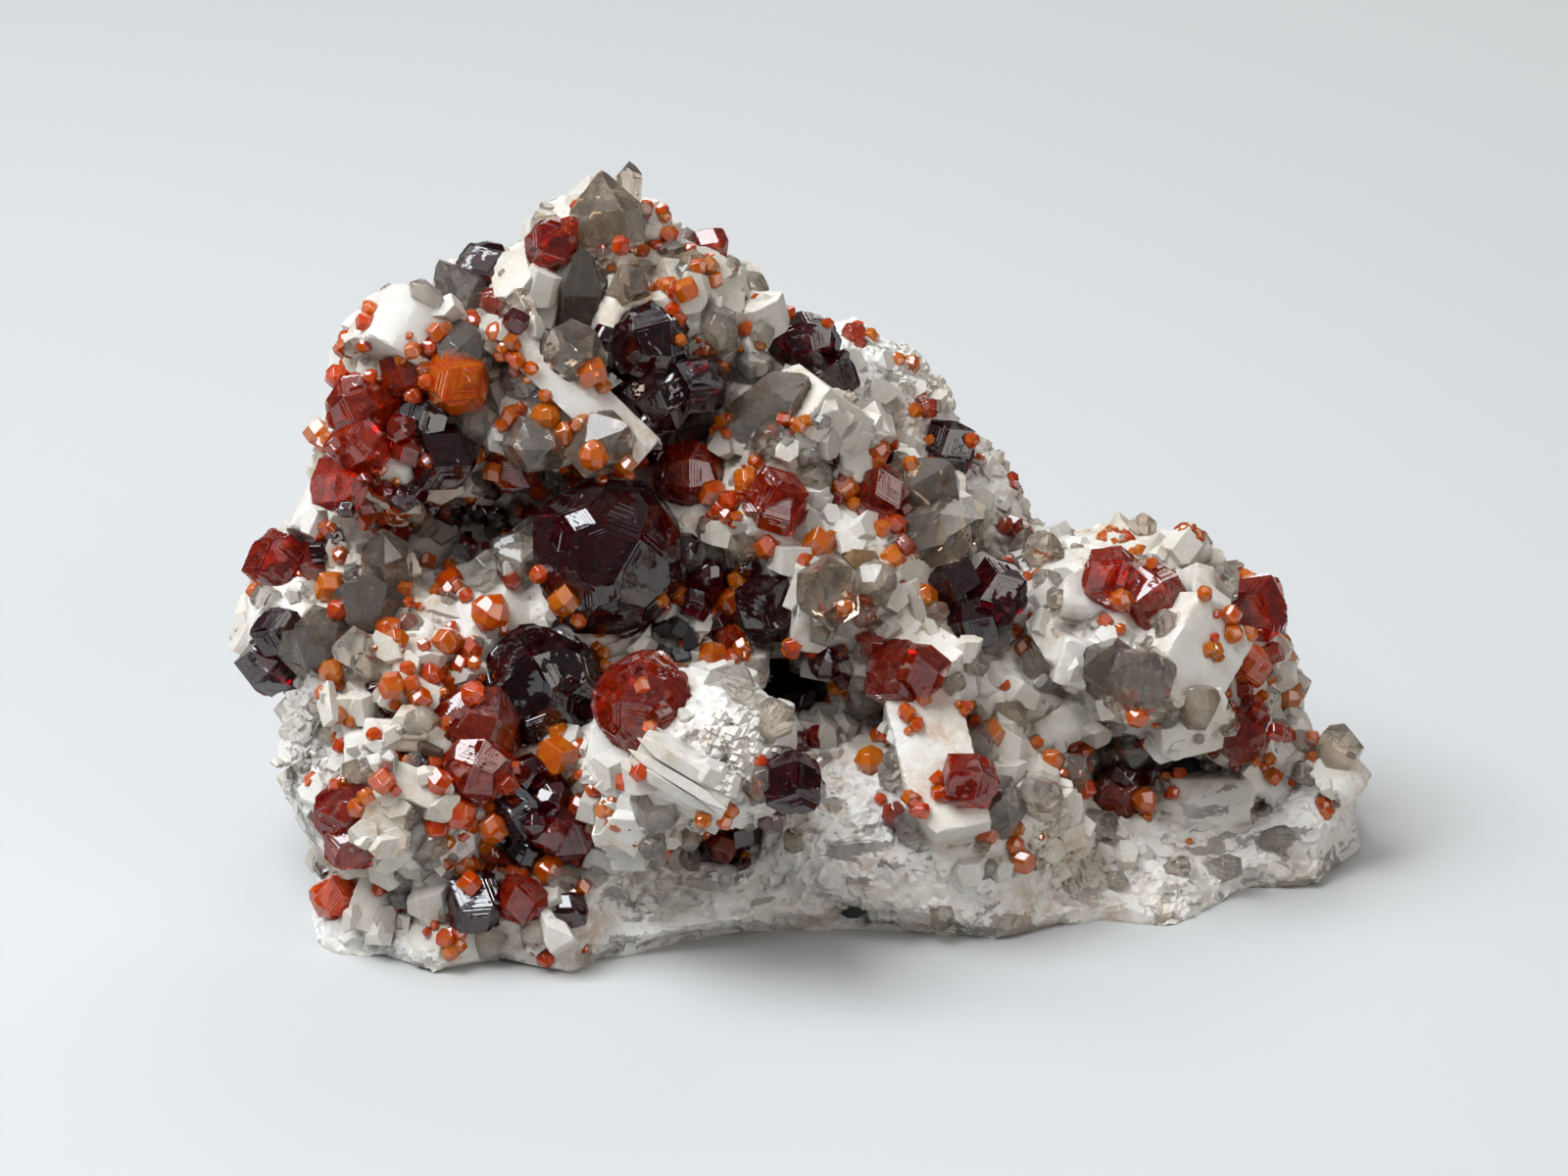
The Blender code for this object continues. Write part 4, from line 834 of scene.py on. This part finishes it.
def build_rock(finish):
    """The feldspar body with its fine broken surface, from the solid's own form."""
    solid = frame["nodes"]["feldspar"].data
    rock = add_piece("feldspar_rock", solid.copy(), finish)
    remesh = rock.modifiers.new("skin", "REMESH")
    remesh.mode = "VOXEL"
    remesh.voxel_size = ROCK_VOXEL
    apply_modifiers(rock)
    faces = CrystalFaces(solid)
    data = rock.data
    normals = [vertex.normal.copy() for vertex in data.vertices]
    for vertex, normal in zip(data.vertices, normals):
        if vertex.co.z < 0.4 * MM:
            continue
        place, on_crystal = faces.nearest(vertex.co)
        if on_crystal:
            share = CRYSTAL_FACE_SHARE
            vertex.co = vertex.co.lerp(place, 0.7)
        else:
            share = 1.0 if is_broken(vertex.co, normal) else LINED_SHARE
        vertex.co += normal * relief(vertex.co) * share
        vertex.co.z = max(vertex.co.z, 0.0)
    thin = rock.modifiers.new("thin", "DECIMATE")
    thin.ratio = ROCK_TRIANGLES / (2 * len(data.polygons))
    apply_modifiers(rock)
    data = rock.data
    tree = BVHTree.FromPolygons([v.co for v in data.vertices], [tuple(f.vertices) for f in data.polygons])
    set_values(data, "broken", [float(is_broken(v.co, v.normal)) for v in data.vertices])
    # How closed in each point is, which the finish darkens as painted shade.
    set_values(data, "shelter", [shelter(tree, v.co, v.normal) for v in data.vertices])
    data.materials.clear()
    data.materials.append(finish)
    data.shade_smooth()
    data.set_sharp_from_angle(angle=SHADED_EDGE)
    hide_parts("feldspar")
    return rock, faces


class Surface:
    """The rock's skin with the large crystals on it, for seating the small ones."""

    def __init__(self, rock, crystals):
        self.points = [vertex.co.copy() for vertex in rock.data.vertices]
        self.faces = [tuple(face.vertices) for face in rock.data.polygons]
        self.rock_faces = len(self.faces)
        for crystal in crystals:
            first = len(self.points)
            self.points.extend(vertex.co.copy() for vertex in crystal.data.vertices)
            self.faces.extend(tuple(first + index for index in f.vertices) for f in crystal.data.polygons)
        self.tree = BVHTree.FromPolygons(self.points, self.faces)
        self.rock = BVHTree.FromPolygons(self.points, self.faces[:self.rock_faces])
        self.large = BVHTree.FromPolygons(self.points, self.faces[self.rock_faces:])

    def under(self, photo_x, photo_y, tree, reach=2.5 * MM):
        """Where a pixel's ray meets a surface, or the nearest place to it, with the slope there."""
        eye = AIM + TOWARDS_VIEWER * VIEW_DISTANCE
        across = (photo_x - PHOTO_SIZE[0] / 2) / PIXELS_PER_MM * MM
        upwards = (PHOTO_SIZE[1] / 2 - photo_y) / PIXELS_PER_MM * MM
        direction = (RIGHT * across + UP * upwards - TOWARDS_VIEWER * VIEW_DISTANCE).normalized()
        point, normal, _, _ = tree.ray_cast(eye, direction)
        if point:
            return point, normal
        nearest = None
        for step in range(-30, 31):
            passing = eye + direction * ((step * MM - eye.y) / direction.y)
            place, normal, _, distance = tree.find_nearest(passing)
            if distance < reach and (nearest is None or distance < nearest[2]):
                nearest = (place, normal, distance)
        return (nearest[0], nearest[1]) if nearest else (None, None)

    def in_large_crystal(self, point, margin):
        """Whether a point lies inside a large crystal, or closer to one than a margin."""
        place, normal, _, distance = self.large.find_nearest(point)
        return distance < margin or (distance < 8 * MM and (point - place).dot(normal) < 0)

    def spots(self, count, rng):
        """Points spread evenly over the whole rock, with the slope at each."""
        areas = []
        total = 0.0
        for face in self.faces[:self.rock_faces]:
            a, b, c = (self.points[index] for index in face[:3])
            total += (b - a).cross(c - a).length
            areas.append(total)
        made = []
        step = total / count
        place = 0
        for number in range(count):
            target = (number + rng.random()) * step
            while areas[place] < target:
                place += 1
            a, b, c = (self.points[index] for index in self.faces[place][:3])
            u, v = sorted((rng.random(), rng.random()))
            made.append((a * u + b * (v - u) + c * (1 - v), (b - a).cross(c - a).normalized()))
        rng.shuffle(made)
        return made


# Crystals

def frame_on(normal, spin):
    """Axes whose Z is a direction, turned about it."""
    return normal.to_track_quat("Z", "Y").to_matrix() @ Matrix.Rotation(spin, 3, "Z")


def random_turn(rng):
    axis = Vector([rng.gauss(0, 1) for _ in range(3)]).normalized()
    return Matrix.Rotation(rng.uniform(0, math.tau), 3, axis)


def placed(rotation, size, centre):
    scale = Matrix.Diagonal(size)
    return Matrix.Translation(centre) @ (rotation @ scale).to_4x4()


def convex(corners, normal):
    """Whether a face's corners all turn the same way."""
    count = len(corners)
    for index in range(count):
        first = corners[(index + 1) % count] - corners[index]
        second = corners[(index + 2) % count] - corners[(index + 1) % count]
        if first.cross(second).dot(normal) < 0:
            return False
    return True


def add_terraces(shape, rng, smallest):
    """Growth steps on each large enough face: thin terraces spread from near one corner."""
    for face in list(shape.faces):
        corners = [vertex.co.copy() for vertex in face.verts]
        if face.calc_area() < smallest or not convex(corners, face.normal):
            continue
        normal = face.normal.copy()
        middle = sum(corners, Vector()) / len(corners)
        centre = middle.lerp(rng.choice(corners), rng.uniform(0.35, 0.7))
        ring = list(face.verts)
        shape.faces.remove(face)
        size = 1.0
        height = 0.0
        for _ in range(rng.choice((3, 4, 5, 6))):
            size *= rng.uniform(0.72, 0.92)
            step = TERRACE_HEIGHT * rng.uniform(0.6, 1.4)
            for shrink, rise in ((1.0, 0.0), (0.975, step)):
                height += rise
                risen = normal * height
                outer = ring
                ring = [shape.verts.new(centre + (corner - centre) * size * shrink + risen)
                        for corner in corners]
                for index in range(len(ring)):
                    after = (index + 1) % len(ring)
                    shape.faces.new((outer[index], outer[after], ring[after], ring[index]))
        shape.faces.new(ring)


def moved_out(shape, distance):
    """Moves every face of the crystal outward by a distance and keeps it flat."""
    shape.normal_update()
    moves = []
    for vertex in shape.verts:
        normals = numpy.array([face.normal for face in vertex.link_faces])
        wanted = numpy.full(len(normals), distance)
        move = Vector(numpy.linalg.lstsq(normals, wanted, rcond=0.05)[0])
        if move.length > 2.5 * distance:
            move.length = 2.5 * distance
        moves.append(move)
    for vertex, move in zip(shape.verts, moves):
        vertex.co += move
        vertex.co.z = max(vertex.co.z, 0.0)
    shape.normal_update()


def rebuild_crystal(node, kind, finishes, rng):
    """The solid's crystal, filled out to its seat, with growth steps on a garnet's faces."""
    shape = flat_faced(frame["nodes"][node].data)
    moved_out(shape, SEAT_FILL)
    if kind != "quartz":
        add_terraces(shape, rng, TERRACED_AREA)
    data = bpy.data.meshes.new(node + "_grown")
    shape.to_mesh(data)
    shape.free()
    set_values(data, "tone", [rng.uniform(0.1, 0.5)] * len(data.vertices))
    piece = add_piece(node + "_grown", data, finishes[kind])
    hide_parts(node)
    return piece


def rebuild_crystals(finishes):
    """A finer crystal or cluster in place of each of the solids."""
    rng = random.Random(SEED)
    kinds = {slot: kind for kind, slot in SLOTS.items()}
    rows = [row for row in frame["record"]["subparts"] if row["node"] != "feldspar"]
    return [rebuild_crystal(row["node"], kinds[row["material_slot"]], finishes, rng) for row in rows]


def random_tilt(rng, most):
    """A slight turn about both axes across the outward one."""
    about_x = Matrix.Rotation(rng.uniform(-most, most), 3, "X")
    about_y = Matrix.Rotation(rng.uniform(-most, most), 3, "Y")
    return about_x @ about_y


class Growth:
    """Grows small crystals on the specimen and gathers them by kind."""

    def __init__(self, surface, rng):
        self.surface = surface
        self.rng = rng
        self.shapes = {
            "garnet": garnet_templates(rng, 0.03),
            "tiny garnet": garnet_templates(rng, 0.0),
            "quartz": quartz_templates(rng),
            "block": block_templates(rng),
        }
        kinds = ("orange", "red", "dark", "quartz", "block", "rust", "black")
        self.heaps = {kind: Heap() for kind in kinds}

    def closed_in(self, point, normal):
        return shelter(self.surface.tree, point + normal * 0.5 * MM, normal)

    def add(self, heap, shape, matrix, shelter_there=0.0):
        self.heaps[heap].add(self.rng.choice(self.shapes[shape]), matrix, self.rng.random(), shelter_there)

    def garnet(self, point, normal, diameter, tint):
        radius = diameter / 2 * MM
        centre = point + normal * radius * self.rng.uniform(0.2, 0.5)
        shape = "garnet" if diameter > 1.5 else "tiny garnet"
        self.add(tint, shape, placed(random_turn(self.rng), (radius,) * 3, centre))

    def quartz(self, point, direction, width, length):
        size = (width * MM * self.rng.uniform(0.85, 1.15), width * MM, length / 2 * MM)
        centre = point + direction * length * 0.12 * MM
        turn = frame_on(direction, self.rng.uniform(0, math.tau))
        self.add("quartz", "quartz", placed(turn, size, centre))

    def block(self, point, normal, rotation, size, heap="block", sunk=0.22):
        centre = point - normal * size[2] * sunk * MM
        matrix = placed(rotation, [side * MM for side in size], centre)
        # How closed in the crystal sits, for the painted shade of the feldspar finish.
        self.add(heap, "block", matrix, self.closed_in(point, normal))

    def facing(self, normal, roll, wobble):
        """A frame half along the slope and half at the viewer, rolled in the picture."""
        out = (normal + TOWARDS_VIEWER).normalized()
        across = (RIGHT - out * RIGHT.dot(out)).normalized()
        upright = Matrix((across, out.cross(across), out)).transposed()
        return upright @ random_tilt(self.rng, wobble) @ Matrix.Rotation(math.radians(roll), 3, "Z")

    def seen_blocks(self, items, heap, wobble, sunk):
        for item in items:
            ground = self.surface.tree if heap == "rust" else self.surface.rock
            point, normal = self.surface.under(item.photo_x, item.photo_y, ground)
            if point and (heap == "rust" or not self.surface.in_large_crystal(point, 0.0)):
                turn = self.facing(normal, item.roll, wobble)
                self.block(point, normal, turn, (item.width, item.height, item.depth), heap, sunk)

    def seen_ones(self):
        """The crystals that the photograph shows one by one."""
        self.seen_blocks(SMALL_BLOCKS, "block", 0.4, 0.22)
        self.seen_blocks(CLEAVAGE_BARS, "block", 0.0, 0.15)
        self.seen_blocks(RUSTY_BLOCKS, "rust", 0.1, 0.0)
        self.seen_blocks(BLACK_BLOCKS, "black", 0.3, 0.1)
        for item in SMALL_QUARTZ:
            point, normal = self.surface.under(item.photo_x, item.photo_y, self.surface.rock)
            if point and not self.surface.in_large_crystal(point, 0.0):
                angle = math.radians(item.angle)
                pointing = RIGHT * math.cos(angle) + UP * math.sin(angle) + TOWARDS_VIEWER * item.towards
                self.quartz(point, (pointing + normal * 0.4).normalized(), item.width, item.length)
        for item in SMALL_GARNETS:
            point, normal = self.surface.under(item.photo_x, item.photo_y, self.surface.tree)
            if point:
                self.garnet(point, normal, item.diameter, item.tint)
                self.crumbs(point, item.diameter, item.tint)

    def granular(self):
        """Small grains close together, all lying alike, where the broken feldspar sparkles."""
        rng = self.rng
        for patch in GRANULAR_PATCHES:
            turn = random_turn(rng)
            for _ in range(patch.grains):
                around = rng.uniform(0, math.tau)
                reach = patch.radius * math.sqrt(rng.random())
                x = patch.photo_x + reach * math.cos(around)
                y = patch.photo_y + reach * math.sin(around)
                point, normal = self.surface.under(x, y, self.surface.rock)
                if point and not self.surface.in_large_crystal(point, 0.0):
                    size = [rng.uniform(0.5, 1.5) for _ in range(3)]
                    self.block(point, normal, turn @ random_tilt(rng, 0.15), size)

    def crumbs(self, point, diameter, tint):
        """A few tiny garnets beside a larger one."""
        rng = self.rng
        for _ in range(rng.choice((1, 2, 3, 4))):
            aside = Vector([rng.gauss(0, 1) for _ in range(3)]).normalized()
            beside = point + aside * (diameter * 0.5 + rng.uniform(0.2, 1.5)) * MM
            place, normal, _, _ = self.surface.rock.find_nearest(beside)
            if place.z > 1 * MM:
                other = tint if rng.random() < 0.5 else "orange"
                self.garnet(place, normal, rng.uniform(0.7, 1.7), other)

    def lining(self, faces):
        """The small crystals between those, thick where the rock is lined and sparse where it broke."""
        rng = self.rng
        for point, normal in self.surface.spots(LINING_SPOTS, rng):
            if point.z < LINING_FOOT or self.surface.in_large_crystal(point, 0.5 * MM):
                continue
            if is_broken(point, normal):
                self.sparse(point, normal)
            elif self.closed_in(point, normal) > HOLLOW_SHELTER:
                self.in_hollow(point, normal)
            else:
                self.in_the_open(point, normal, faces.nearest(point)[1])

    def in_the_open(self, point, normal, on_crystal):
        rng = self.rng
        clean = any(in_outline(seen_in_photo(point), outline) for outline in CLEAN_PLACES)
        if on_crystal and (rng.random() < 0.4 or clean):
            return
        patch = noise.noise(point / PATCH_SIZE) * 0.5 + 0.5
        draw = rng.random()
        if draw < OPEN_GARNET * patch * patch:
            tint = "red" if rng.random() < 0.2 else "orange"
            diameter = rng.choice((0.8, 1.0, 1.3, 1.7, 2.1))
            self.garnet(point, normal, diameter, tint)
            self.crumbs(point, diameter, tint)
        elif draw < OPEN_QUARTZ:
            width = rng.uniform(0.9, 2.2)
            lean = (normal + 0.5 * Vector([rng.gauss(0, 1) for _ in range(3)])).normalized()
            self.quartz(point, lean, width, width * rng.uniform(1.2, 1.8))
        elif draw < OPEN_BLOCK:
            middle = rng.choice((1.4, 1.9, 2.5, 3.3))
            size = [middle * rng.uniform(0.65, 1.4) for _ in range(3)]
            turn = self.shared_turn(point) @ random_tilt(rng, 0.3)
            self.block(point, normal, turn, size, sunk=0.15)

    def in_hollow(self, point, normal):
        """In the hollows: quartz, and garnets mostly of the dark tint, partly as painted shade."""
        rng = self.rng
        draw = rng.random()
        if draw < HOLLOW_GARNET:
            self.garnet(point, normal, rng.uniform(1.2, 2.6), rng.choice(("dark", "dark", "red", "orange")))
        elif draw < HOLLOW_QUARTZ:
            width = rng.uniform(0.9, 2.0)
            self.quartz(point, normal, width, width * rng.uniform(1.2, 1.8))
        elif draw < HOLLOW_BLOCK:
            size = [rng.uniform(0.9, 2.0) for _ in range(3)]
            self.block(point, normal, self.shared_turn(point), size)

    def sparse(self, point, normal):
        """On broken rock: a few crumbs of garnet and feldspar."""
        rng = self.rng
        draw = rng.random()
        if draw < BROKEN_GARNET:
            self.garnet(point, normal, rng.choice((0.7, 0.9, 1.2)), rng.choice(("orange", "red")))
        elif draw < BROKEN_BLOCK:
            size = [rng.uniform(0.9, 2.6) for _ in range(3)]
            self.block(point, normal, self.shared_turn(point), size, sunk=0.3)

    def shared_turn(self, point):
        """The way that all the feldspar crystals in one neighbourhood lie."""
        edge = 0.5 * noise.noise(point / NEIGHBOURHOOD_EDGE)
        cell = tuple(math.floor(side / NEIGHBOURHOOD + edge) for side in point)
        return random_turn(random.Random(hash(cell) % 99991))

    def build(self, finishes):
        names = {"quartz": "small_quartz", "block": "small_feldspar", "rust": "rusty_crystals",
                 "black": "black_crystals"}
        for kind, heap in self.heaps.items():
            heap.build(names.get(kind, f"small_garnets_{kind}"), finishes[kind], SLOTS[kind])


def main():
    add_camera()
    for light in LIGHTS:
        add_light(*light)
    add_sky()
    add_floor()
    set_rendering()
    finishes = make_finishes()
    rock, faces = build_rock(finishes["feldspar"])
    crystals = rebuild_crystals(finishes)
    growth = Growth(Surface(rock, crystals), random.Random(SEED + 1))
    growth.seen_ones()
    growth.granular()
    growth.lining(faces)
    growth.build(finishes)


main()
